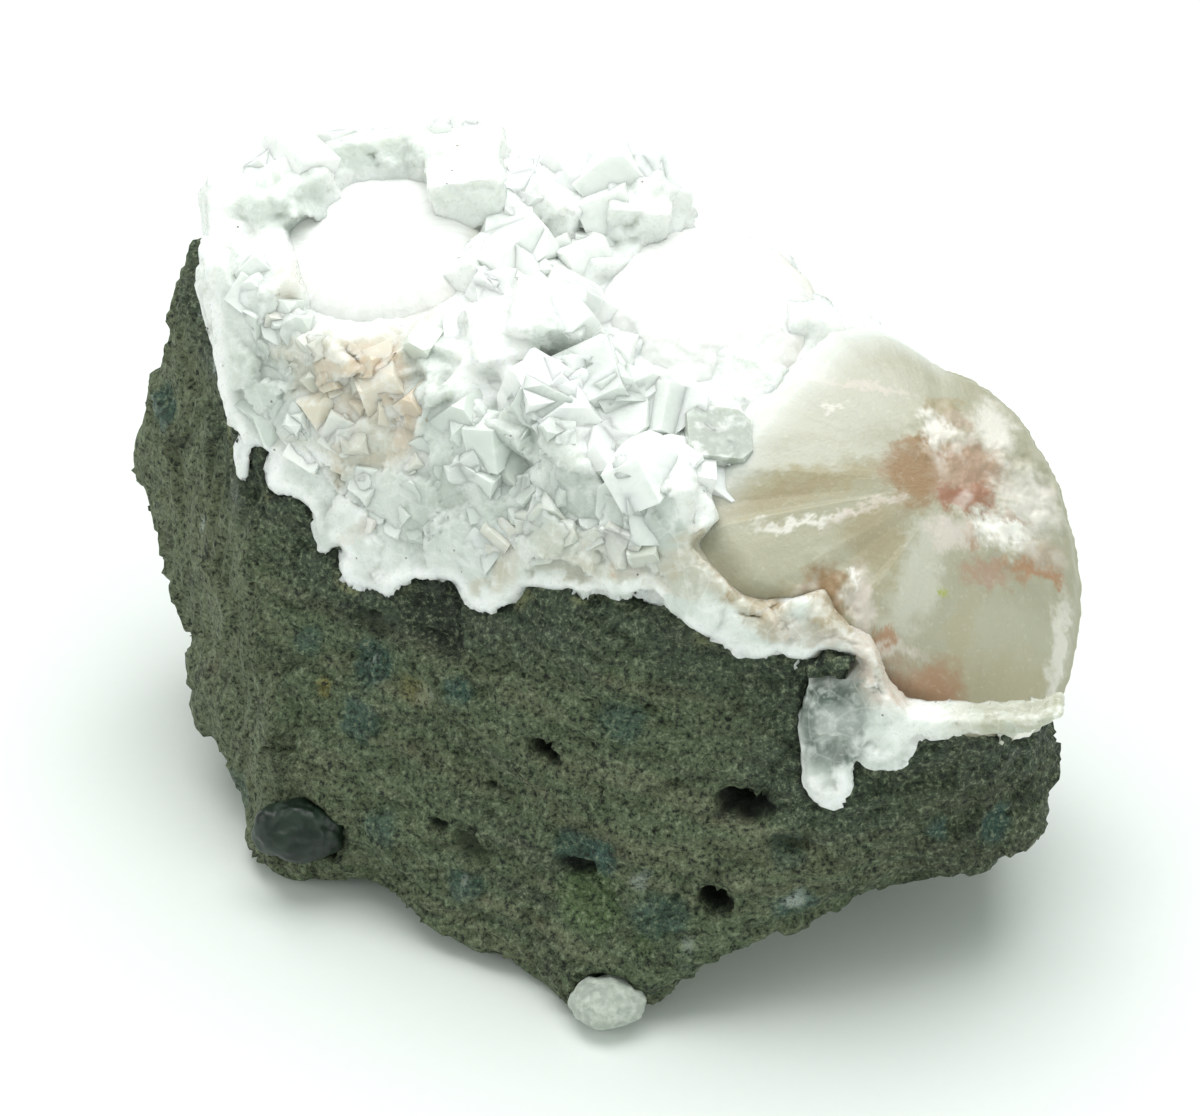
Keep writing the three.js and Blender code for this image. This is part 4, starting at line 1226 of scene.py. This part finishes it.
crumbs = np.maximum(crumbly(7, -1, 6.5, 2.5, 40), crumbly(-11.5, -13.5, 5, 2, 46))
crumbs = np.maximum(crumbs, crumbly(0, 5, 3.6, 1.5, 48))
crumb_relief = (0.45 * layered(fan_flat, 2.4, 3, 42)).reshape(fan_share.shape)
fan_height = fan_lift - fan_drop - fan_rim + fan_ribs * (1 - crumbs) + crumbs * (crumb_relief + 0.25)
fan_top = np.stack([fan_across, fan_up, fan_height], -1)
rim_drop = fan_radius[-1] ** 2 / (2 * round_table(FAN_BEND, fan_angles[0]))
underside = [
    np.column_stack([fan_top[-1, :, :2] * share, -rim_drop * share**2 - depth])
    for share, depth in ((0.99, 1.9), (0.96, 2.6), (0.84, 4.4), (0.7, 6.0), (0.35, 8.2))
]


def fan_place(local):
    """Across, up and out of the fan's plane, in the block's frame."""
    return FAN_CORE + local @ np.stack([FAN_RIGHT, FAN_UP, FAN_FACING])


fan = disc("fan_of_stilbite", np.concatenate([fan_top, np.stack(underside)]), fan_place)
print("fan", len(fan.data.vertices), "points")

# %% [markdown]
# The core is coral, the sheaves are cream to olive, and orange and peach stains lie at the left end
# and at the bottom. A texture would need unwrapping, so the tones are a table of tilted spots in
# the fan's own plane, with edges broken by noise, laid over each other at the points. The rim fades
# to white where it grows into the crust.

# %% Fan colours
CREAM = (0.44, 0.42, 0.31)
WHITE = (0.92, 0.89, 0.85)
IVORY = (0.82, 0.78, 0.72)
BUTTER = (0.61, 0.60, 0.51)
STRAW = (0.52, 0.50, 0.38)
OLIVE = (0.46, 0.41, 0.27)
SAND = (0.42, 0.35, 0.22)
PINK = (0.74, 0.66, 0.60)
SALMON = (0.46, 0.31, 0.22)
DUSK = (0.53, 0.41, 0.32)
BRICK = (0.38, 0.18, 0.11)
ORANGE = (0.44, 0.25, 0.14)
AMBER = (0.35, 0.22, 0.11)
LEMON = (0.40, 0.43, 0.06)
# A row is a place across and up from the core, half its width and height, its tilt in degrees,
# a tone and how much of it.
FAN_PATCHES = [
    (-13.1, 8.7, 12.1, 5.7, 8, BUTTER, 0.9),
    (-13.1, 6.9, 7.5, 2.6, 5, BUTTER, 0.8),
    (-8.2, 10.1, 5.5, 0.5, -6, PINK, 0.7),
    (-11.1, 7.5, 1.1, 0.4, 25, IVORY, 0.8),
    (-14.5, 1.9, 9.5, 1.6, 9, BUTTER, 0.9),
    (-16.5, -1.5, 9.2, 2.0, 15, OLIVE, 1),
    (-13.9, -1.1, 6.6, 1.0, 17, SAND, 0.8),
    (-14.5, -7.7, 9.2, 2.9, -4, STRAW, 0.9),
    (-14.5, -4.5, 4.7, 0.5, 8, IVORY, 0.9),
    (-8.5, -3.0, 4.0, 0.6, 28, PINK, 0.9),
    (-7.3, -5.7, 2.7, 3.4, -20, SAND, 0.8),
    (-5.9, -9.1, 1.4, 3.2, -12, OLIVE, 0.7),
    (-3.0, -9.1, 2.3, 6.3, -16, BUTTER, 0.9),
    (-13.7, -12.9, 3.4, 1.9, -5, SAND, 0.8),
    (-11.5, -11.1, 1.8, 2.7, 8, AMBER, 0.95),
    (-8.2, -11.9, 1.4, 4.0, 8, PINK, 0.8),
    (-9.1, -9.3, 0.6, 0.7, 0, WHITE, 0.9),
    (-1.0, 1.5, 5.5, 2.6, 0, SALMON, 0.75),
    (-3.6, 0.6, 2.4, 3.3, 0, AMBER, 0.95),
    (-3.0, 4.4, 1.4, 0.9, 0, AMBER, 0.9),
    (2.7, 1.8, 3.3, 3.0, 0, SALMON, 0.9),
    (-1.0, 5.8, 1.3, 2.6, -4, IVORY, 0.95),
    (0.7, -1.2, 2.3, 1.2, -8, BRICK, 0.95),
    (2.7, -0.8, 1.8, 1.4, 0, BRICK, 0.8),
    (2.0, -4.8, 0.8, 1.7, 0, ORANGE, 0.8),
    (-0.2, -4.8, 1.7, 1.7, 0, PINK, 0.8),
    (0.1, 8.7, 1.8, 0.9, 10, SAND, 0.8),
    (1.6, 6.9, 1.7, 1.4, 0, DUSK, 0.7),
    (5.3, 6.7, 2.4, 2.9, 0, IVORY, 0.9),
    (8.4, -0.5, 3.7, 3.4, -30, IVORY, 0.8),
    (5.0, -3.7, 3.4, 1.8, 0, WHITE, 0.9),
    (7.0, -2.2, 1.7, 0.6, 0, SALMON, 0.6),
    (4.1, -8.1, 2.4, 1.2, -4, SALMON, 0.9),
    (8.7, -7.0, 2.2, 1.1, 0, ORANGE, 0.95),
    (11.6, -6.8, 1.7, 0.7, 0, ORANGE, 0.95),
    (10.2, -5.3, 2.6, 1.4, 0, DUSK, 0.7),
    (5.6, -7.0, 0.7, 0.9, 0, ORANGE, 0.7),
    (7.0, -13.4, 7.2, 3.7, 0, STRAW, 0.8),
    (7.0, -18.0, 6.9, 3.4, 0, OLIVE, 0.7),
    (12.7, -13.1, 1.1, 5.2, -4, IVORY, 0.8),
    (1.6, -14.0, 1.3, 4.3, -10, OLIVE, 0.6),
    (-1.1, -10.5, 0.5, 0.4, 0, LEMON, 0.9),
    (3.3, -19.6, 0.4, 0.3, 0, LEMON, 0.9),
    (-5.5, -14.8, 1.3, 0.8, 0, ORANGE, 0.9),
    (-5.0, -19.2, 3.2, 2.6, 0, SALMON, 0.9),
    (-0.2, -18.6, 2.9, 2.4, 0, ORANGE, 0.9),
    (2.7, -23.8, 9.5, 1.3, 6, WHITE, 0.9),
    (10.7, -20.9, 1.7, 1.9, 0, WHITE, 0.9),
    (-5.9, -15.7, 3.7, 0.6, 0, PINK, 0.6),
]
fan_right = fan_flat[:, 0] + 0.8 * waves(fan_flat, 3, 50) + 0.7 * layered(fan_flat, 1.2, 4, 52, 0.75)
fan_above = fan_flat[:, 1] + 0.8 * waves(fan_flat, 3, 51) + 0.7 * layered(fan_flat, 1.2, 4, 57, 0.75)
fan_colour = np.broadcast_to(CREAM, fan_flat.shape)
for place_across, place_up, half_wide, half_tall, tilt, colour, share in FAN_PATCHES:
    out = out_from(fan_right - place_across, fan_above - place_up, half_wide, half_tall, tilt)
    fan_colour = over(fan_colour, (colour, share * (1 - smooth_step(out, 0.45, 1.45))))
white_crumbs = crumbs.ravel() * smooth_step(waves(fan_flat, 2.0, 54), 0.0, 0.6)
into_crust = smooth_step(fan_share.ravel(), 0.72, 0.98)
into_crust = into_crust * smooth_step(np.abs(fan_angles.ravel() - 138), 62, 40)
fan_colour = over(
    fan_colour, ((0.85, 0.80, 0.74), 0.55 * white_crumbs), ((0.80, 0.82, 0.79), 0.9 * into_crust)
)
streaks = 0.5 + 0.5 * ray_noise(fan_angles, fan_share, 5, 0.6, 68).ravel()
kept = 0.88 + 0.12 * smooth_step(fan_colour.min(1), 0.6, 0.82)
fan_colour = fan_colour * (kept * (0.96 + 0.06 * streaks))[:, None]
fan_colour = fan_colour.reshape(fan_share.shape + (3,))
rim_colour = np.repeat(fan_colour[-1][None], len(underside), axis=0)
add_values(fan, "fibre_colour", np.vstack([
    np.concatenate([fan_colour, rim_colour]).reshape(-1, 3),
    fan_colour[0].mean(0), rim_colour[-1].mean(0),
]))
print("fan patches", len(FAN_PATCHES))

# %% [markdown]
# The balls are the same idea with a plain round outline: a shallow dome of fine white fibres.

# %% Balls
BALL_AROUND = 480


def fibre_ball(name, ball, seed, roughness):
    """A dome of fibres: height over the plan is a quarter ellipse flattened on top, plus ribs."""
    facing = np.array(ball["facing"]) / np.linalg.norm(ball["facing"])
    right = np.cross([0, 1, 0], facing)
    right /= np.linalg.norm(right)
    up = np.cross(facing, right)
    polar = np.concatenate([np.linspace(0.01, 1.25, 90), np.linspace(1.27, 2.9, 24)])
    angles, polar = np.meshgrid(np.arange(BALL_AROUND) * 360 / BALL_AROUND, polar)
    share = np.sin(polar)
    wide = ball["radius"] + 1.1 + 0.35 * ray_noise(angles, share * 0, 40, 1, seed)
    ribs = share * (
        0.10 * ray_noise(angles, share, 5, 0.5, seed + 1)
        + 0.06 * ray_noise(angles, share, 2, 0.2, seed + 2)
    )
    upright = np.cos(polar)
    tall = np.where(upright > 0, ball["above"] * (1 - 0.25 * upright**4), 0.45)
    turn = np.radians(angles)
    flat = np.stack([share * np.cos(turn), share * np.sin(turn), upright], -1)
    lumps = roughness * layered(flat.reshape(-1, 3) * ball["radius"], 4, 3, seed + 5)
    out = 1 + (ribs + lumps.reshape(share.shape)) / ball["radius"]
    local = flat * (wide * out)[..., None]
    local[..., 2] *= tall
    made = disc(name, local, lambda points: ball["centre"] + points @ np.stack([right, up, facing]))
    # A painted tan shade on the rim's right side.
    rim = smooth_step(share, 0.72, 1.0)
    side = smooth_step(np.cos(np.radians(angles - 20)), -0.1, 0.9)
    values = (rim * side).reshape(-1)
    add_values(made, "rim", np.append(values, [0, 0]))
    ray = (0.5 + 0.5 * ray_noise(angles, share, 3.0, 0.5, seed + 8)) * smooth_step(share, 0.05, 0.4)
    add_values(made, "ray", np.append(ray.reshape(-1), [0, 0]))
    print(name, len(made.data.vertices), "points")
    return made


upper_ball = fibre_ball("upper_fibre_ball", BALLS[0], 70, 0.12)
second_ball = fibre_ball("second_fibre_ball", BALLS[1], 80, 0.45)

# %% [markdown]
# ## Fillings
#
# Two gas holes of the basalt are filled: a dark green lump of celadonite and chalcedony low on the
# left, smooth as wax, and a white one in the toe.

# %% Lumps
def lump(name, node, relief, size, seed):
    """A remeshed copy of a filling's solid, relaxed until it is round, with gentle relief."""
    points, faces = remeshed(merged_copy(node), FILLING_VOXEL)
    points = relaxed(points, faces, 14)
    heights = relief * layered(points, size, 3, seed) + 0.12
    points = points + normals_of(points, faces) * heights[:, None]
    print(name, len(points), "points")
    return add_object(name, points, faces.tolist())


nodule = lump("green_filling", "celadonite_nodule", 0.45, 3.2, 90)
toe = lump("white_filling", "toe_filling", 0.3, 1.6, 92)

# %% [markdown]
# ## Colours of the rock
#
# The lava is olive brown with faint bands, darker and greener towards the crust, where hot water
# altered it, with a broken cream line right at the contact. Blue-green celadonite, moss green and
# yellow spots sit in small holes, and pale dashes of zeolite run down the left face. Painted light
# makes the faces that look left lighter, and painted shade darkens the right end, the hollow where
# the flake came off, and the gas holes.

# %% Basalt colours
OLIVE_BROWN = (0.114, 0.152, 0.078)
DARK_GREEN = (0.046, 0.070, 0.044)
basalt_edge = distance_to(basalt_points, crust_points[::3], 9.0)
bands = layered(layers_place * [0.5, 0.5, 1.6], 9, 4, 101)
streak_place = layers_place * [0.3, 0.3, 1.3]
near_crust = smooth_step(basalt_edge + 2.5 * waves(basalt_points, 5, 102), 8, 1.5)
teal = blots(basalt_points, [
    (-22.6, -12.5, 26.4, 2.4, 0.8), (-23.5, -14.7, 21.2, 2.2, 0.7), (-28.6, -9.5, 27.2, 1.6, 0.6),
    (-13.6, -18.1, 27.9, 1.5, 0.8), (-2.4, -28, 16, 2.2, 0.7), (0, -29.3, 16.6, 1.8, 0.9),
    (18.7, -33.4, 13.8, 2.2, 0.8), (5.5, -32.8, 12, 2.6, 0.6), (1.9, -25.3, 30.2, 2.2, 0.6),
    (32.5, -29, 19.7, 1.3, 0.8), (38.8, -26.2, 17.7, 2, 0.8), (-21.8, -20, 11.5, 2, 0.6),
    (-44.3, 15.8, 37.4, 2.2, 0.8), (-36.9, -6.3, 4.7, 2, 0.5), (18.1, -32.9, 20.4, 2, 0.5),
    (-13.3, -25.2, 8.9, 1.8, 0.7), (8, -33, 8, 2, 0.5),
], 0.9, 103)
moss = blots(basalt_points, [
    (-1, -30.4, 11.7, 3.4, 0.8), (5, -33, 8.5, 1.5, 0.5), (-29, -10, 30, 1.2, 0.6),
], 0.9, 111)
ash = blots(basalt_points, [
    (-22.8, -12.4, 27, 0.9, 0.6), (3.8, -31.6, 15.4, 0.7, 0.5), (0.3, -29.2, 17, 0.7, 0.8),
    (18.7, -33.4, 14.4, 1.2, 0.8), (8.7, -34.2, 9.9, 0.8, 0.5), (-13.4, -25.2, 9.4, 0.6, 0.6),
    (-17.2, -16, 25.8, 1.2, 0.4), (-40.1, 13.3, 50.3, 0.9, 0.9), (-38.5, 9, 47.2, 0.8, 0.8),
    (-40.5, 6.3, 29.3, 0.9, 0.8), (-43.9, 14.2, 38.5, 0.8, 0.8),
], 0.8, 104)
rust = blots(basalt_points, [
    (-27.2, -11.8, 22.7, 1.0, 0.8), (-18.1, -15.6, 25.8, 1.8, 0.4), (-31, -12, 24, 1.4, 0.4),
], 0.8, 105)
rim_waves = waves(basalt_points, 4, 106)
cream_line = smooth_step(in_crust + 0.5 * rim_waves, -1.1, -0.7) * smooth_step(rim_waves, 0.1, 0.5)
dark_line = smooth_step(in_crust + 0.2 * rim_waves, -0.6, -0.35)
stone_colour = over(
    np.broadcast_to(OLIVE_BROWN, basalt_points.shape),
    ((0.165, 0.165, 0.095), 0.6 * smooth_step(bands, 0.0, 0.7)),
    ((0.05, 0.06, 0.042), 0.6 * smooth_step(bands, -0.1, -0.9)),
    # Painted light: faces that look to the left are lighter, as if lit from the left.
    ((0.185, 0.21, 0.125), 0.6 * upright[:, 0]),
)
# Painted shade: the right end, whose facet faces right and down, darker.
stone_colour = stone_colour * (1 - 0.4 * smooth_step(basalt_points[:, 0], 22, 34))[:, None]
stone_colour = over(
    stone_colour,
    ((0.035, 0.042, 0.028), 0.7 * smooth_step(layered(streak_place, 2.2, 3, 109), 0.35, 0.9)),
    ((0.19, 0.19, 0.125), 0.5 * smooth_step(layered(streak_place, 2.2, 3, 110), 0.4, 0.9)),
    (DARK_GREEN, 0.75 * near_crust),
    ((0.10, 0.17, 0.055), 0.8 * moss),
    ((0.018, 0.088, 0.074), 0.9 * teal),
    # Painted shade in the hollow where the flake came off.
    ((0.03, 0.042, 0.03), 0.75 * flake),
    ((0.46, 0.52, 0.47), ash),
    ((0.30, 0.26, 0.07), rust),
    ((0.34, 0.35, 0.17), 0.7 * cream_line),
    ((0.02, 0.032, 0.02), 0.9 * dark_line),
    # Painted shade inside the gas holes.
    ((0.008, 0.012, 0.008), 0.9 * smooth_step(hole_depth, 0.3, 1.2)),
)
damp = near_crust * smooth_step(waves(basalt_points, 2.2, 108), 0.1, 0.5)
basalt = add_object("basalt_block", basalt_points, basalt_faces.tolist())
add_values(basalt, "stone_colour", 0.9 * stone_colour)
add_values(basalt, "pit", smooth_step(hole_depth, 0.2, 0.9))
add_values(basalt, "wet", np.maximum(teal, 0.6 * damp))
crust = add_object("crust_mass", crust_points, crust_faces.tolist())
add_values(crust, "crust_colour", crust_colour)
print("contact line", (np.abs(in_crust) < 0.6).sum(), "points of the basalt")

# %% [markdown]
# ## Finishes
#
# The large tones are already stored at the points. A finish adds what is finer than the mesh, and
# the gloss of each mineral.
#
# Basalt is a felt of tiny crystals: black pyroxene, pale feldspar and glass. Two sizes of noise
# give the dark and the pale grains, and the holes get no pale ones, which keeps their painted shade
# dark. The same noises bump the surface, so that a grain's colour and its relief agree. Damp-looking
# places are smoother.

# %% Basalt finish
stone = Finish("basalt")
flecks = stone.noise(0.55, detail=4, rough=0.75)
grit = stone.noise(0.25, detail=2)
rock = stone.read_colour("stone_colour")
open_face = 1 - stone.read("pit")
rock = stone.mix(flecks.step(0.50, 0.37), rock, (0.010, 0.015, 0.009))
rock = stone.mix(flecks.step(0.52, 0.66) * open_face * 0.85, rock, (0.26, 0.30, 0.19))
rock = stone.mix(grit.step(0.60, 0.85) * open_face * 0.5, rock, (0.235, 0.245, 0.19))
dull = grit.step(0.4, 0.8) * -0.3 + stone.read("wet") * -0.45 + 0.8
basalt_normal = stone.bump(grit, 0.16, stone.bump(flecks, 0.45))
basalt.data.materials.append(stone.surface(
    {"Base Color": rock, "Roughness": dull, "Normal": basalt_normal},
    {"Specular IOR Level": 0.45},
))

# %% [markdown]
# The mass is milky, because it is full of flaws. Cloudy veils, a few straight flaws, sugary grains
# and dark specks are mixed over its tones. Light goes two millimetres into it, which softens the
# shading; real transparency would cost much time and show the inside of the skin.

# %% Crust finish
sugar = Finish("apophyllite_mass")
tone = sugar.noise(1.6, detail=3)
flaw = sugar.grain(2.6, "DISTANCE_TO_EDGE").step(0.05, 0.0)
grains = sugar.noise(0.6, detail=3, rough=0.7)
mass = sugar.read_colour("crust_colour")
mass = sugar.mix(tone.step(0.50, 0.72) * 0.4, mass, (0.95, 0.96, 0.95))
mass = sugar.mix(tone.step(0.48, 0.30) * 0.35, mass, (0.60, 0.65, 0.60))
mass = sugar.mix(grains.step(0.45, 0.30) * 0.4, mass, (0.66, 0.69, 0.64))
mass = sugar.mix(flaw * 0.15, mass, (0.97, 0.97, 0.96))
specks = sugar.grain(1.6).step(0.10, 0.06) * sugar.noise(3).step(0.52, 0.6)
mass = sugar.mix(specks * 0.8, mass, (0.12, 0.10, 0.07))
crust_normal = sugar.bump(sugar.grain(0.9), 0.10, sugar.bump(grains, 0.10))
crust.data.materials.append(sugar.surface(
    {"Base Color": mass, "Roughness": grains * 0.6 + 0.02, "Normal": crust_normal},
    {"Subsurface Weight": 0.6, "Subsurface Radius": (1.0, 0.95, 0.85), "Subsurface Scale": 2.0 * MM,
     "IOR": 1.53},
))

# %% [markdown]
# The single crystals are the same mineral with cleaner faces: smoother, with a milky veil inside.
# They stay milky too, since clear blocks would show the mass that they are sunk in.

# %% Crisp crystal finish
ice = Finish("clear_apophyllite")
veil = ice.noise(1.6, detail=4)
glass = ice.read_colour("crystal_colour")
glass = ice.mix(veil.step(0.5, 0.72) * 0.5, glass, (0.94, 0.95, 0.94))
glass = ice.mix(veil.step(0.5, 0.3) * 0.4, glass, (0.68, 0.74, 0.69))
clear_crystals.data.materials.append(ice.surface(
    {"Base Color": glass, "Roughness": veil * 0.35, "Normal": ice.bump(veil, 0.12)},
    {"IOR": 1.535, "Subsurface Weight": 0.45,
     "Subsurface Radius": (1.0, 0.97, 0.9), "Subsurface Scale": 1.4 * MM},
))

# %% [markdown]
# Stilbite has a silky, pearly gloss along its blades. The mesh has the ribs already, so the finish
# adds only a fine grain and lets light a little way in.

# %% Stilbite finish
silk = Finish("stilbite")
fibre = silk.read_colour("fibre_colour")
fine = silk.noise(0.6, detail=3)
pearl = silk.mix(fine.step(0.55, 0.8) * 0.15, fibre, (0.9, 0.88, 0.8))
fan.data.materials.append(silk.surface(
    {"Base Color": pearl, "Roughness": fine * 0.3 + 0.3, "Normal": silk.bump(silk.noise(0.4), 0.07)},
    {"Subsurface Weight": 0.4, "Subsurface Radius": (0.9, 0.8, 0.6), "Subsurface Scale": 1.2 * MM},
))

# %% [markdown]
# The balls are white all over, with faint darker lines between the rays and a tan painted shade on
# one side of the rim, both read from the points.

# %% White fibres
wool = Finish("white_fibres")
ray = wool.read("ray")
snow = wool.mix(ray.step(0.3, 0.8) * 0.5, (0.83, 0.83, 0.82), (0.74, 0.735, 0.715))
# Painted shade: tan on the right side of the rim.
snow = wool.mix(wool.read("rim") * 0.7, snow, (0.72, 0.68, 0.60))
wool_surface = wool.surface(
    {"Base Color": snow, "Roughness": ray * 0.2 + 0.5, "Normal": wool.bump(wool.noise(0.5), 0.08)},
    {"Subsurface Weight": 0.3, "Subsurface Radius": (1.0, 0.95, 0.9), "Subsurface Scale": 1.2 * MM},
)
upper_ball.data.materials.append(wool_surface)
second_ball.data.materials.append(wool_surface)

# %% [markdown]
# The green filling is waxy and lets light in, so it is nearly black with a soft gloss. The white
# one is chalky: rough, with its own bump.

# %% Fillings
wax = Finish("celadonite")
depth = wax.noise(2.2, detail=4)
leek = wax.mix(depth.step(0.3, 0.75), (0.002, 0.008, 0.004), (0.012, 0.030, 0.017))
nodule.data.materials.append(wax.surface(
    {"Base Color": leek, "Roughness": depth * 0.4 + 0.22, "Normal": wax.bump(wax.noise(0.9), 0.06)},
    {"Subsurface Weight": 0.3, "Subsurface Radius": (0.4, 0.8, 0.5), "Subsurface Scale": 1.0 * MM},
))
chalk = Finish("white_filling")
dust = chalk.noise(1.0, detail=4)
pale = chalk.mix(dust.step(0.35, 0.7), (0.38, 0.42, 0.37), (0.57, 0.60, 0.54))
toe.data.materials.append(chalk.surface(
    {"Base Color": pale, "Roughness": dust * 0.2 + 0.6, "Normal": chalk.bump(dust, 0.25)},
    {"Subsurface Weight": 0.2, "Subsurface Radius": (1.0, 0.9, 0.8), "Subsurface Scale": 1.0 * MM},
))

# %% [markdown]
# ## Who replaces what
#
# Every piece rides on the one body of the part and takes the place of its CAD solid. Each row also
# lists a slot that a scene may repaint.

# %% Joining the frame
PIECES = [
    (basalt, "basalt_matrix", "basalt"),
    (crust, "apophyllite_crust", "apophyllite"),
    (clear_crystals, None, "apophyllite"),
    (fan, "stilbite_fan", "stilbite"),
    (upper_ball, "upper_ball", "white_fibres"),
    (second_ball, "second_ball", "white_fibres"),
    (nodule, "celadonite_nodule", "celadonite"),
    (toe, "toe_filling", "white_filling"),
]
for piece, node, slot in PIECES:
    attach(piece, "root")
    if node:
        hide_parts(node)
    print(piece.name, len(piece.data.polygons), "faces")
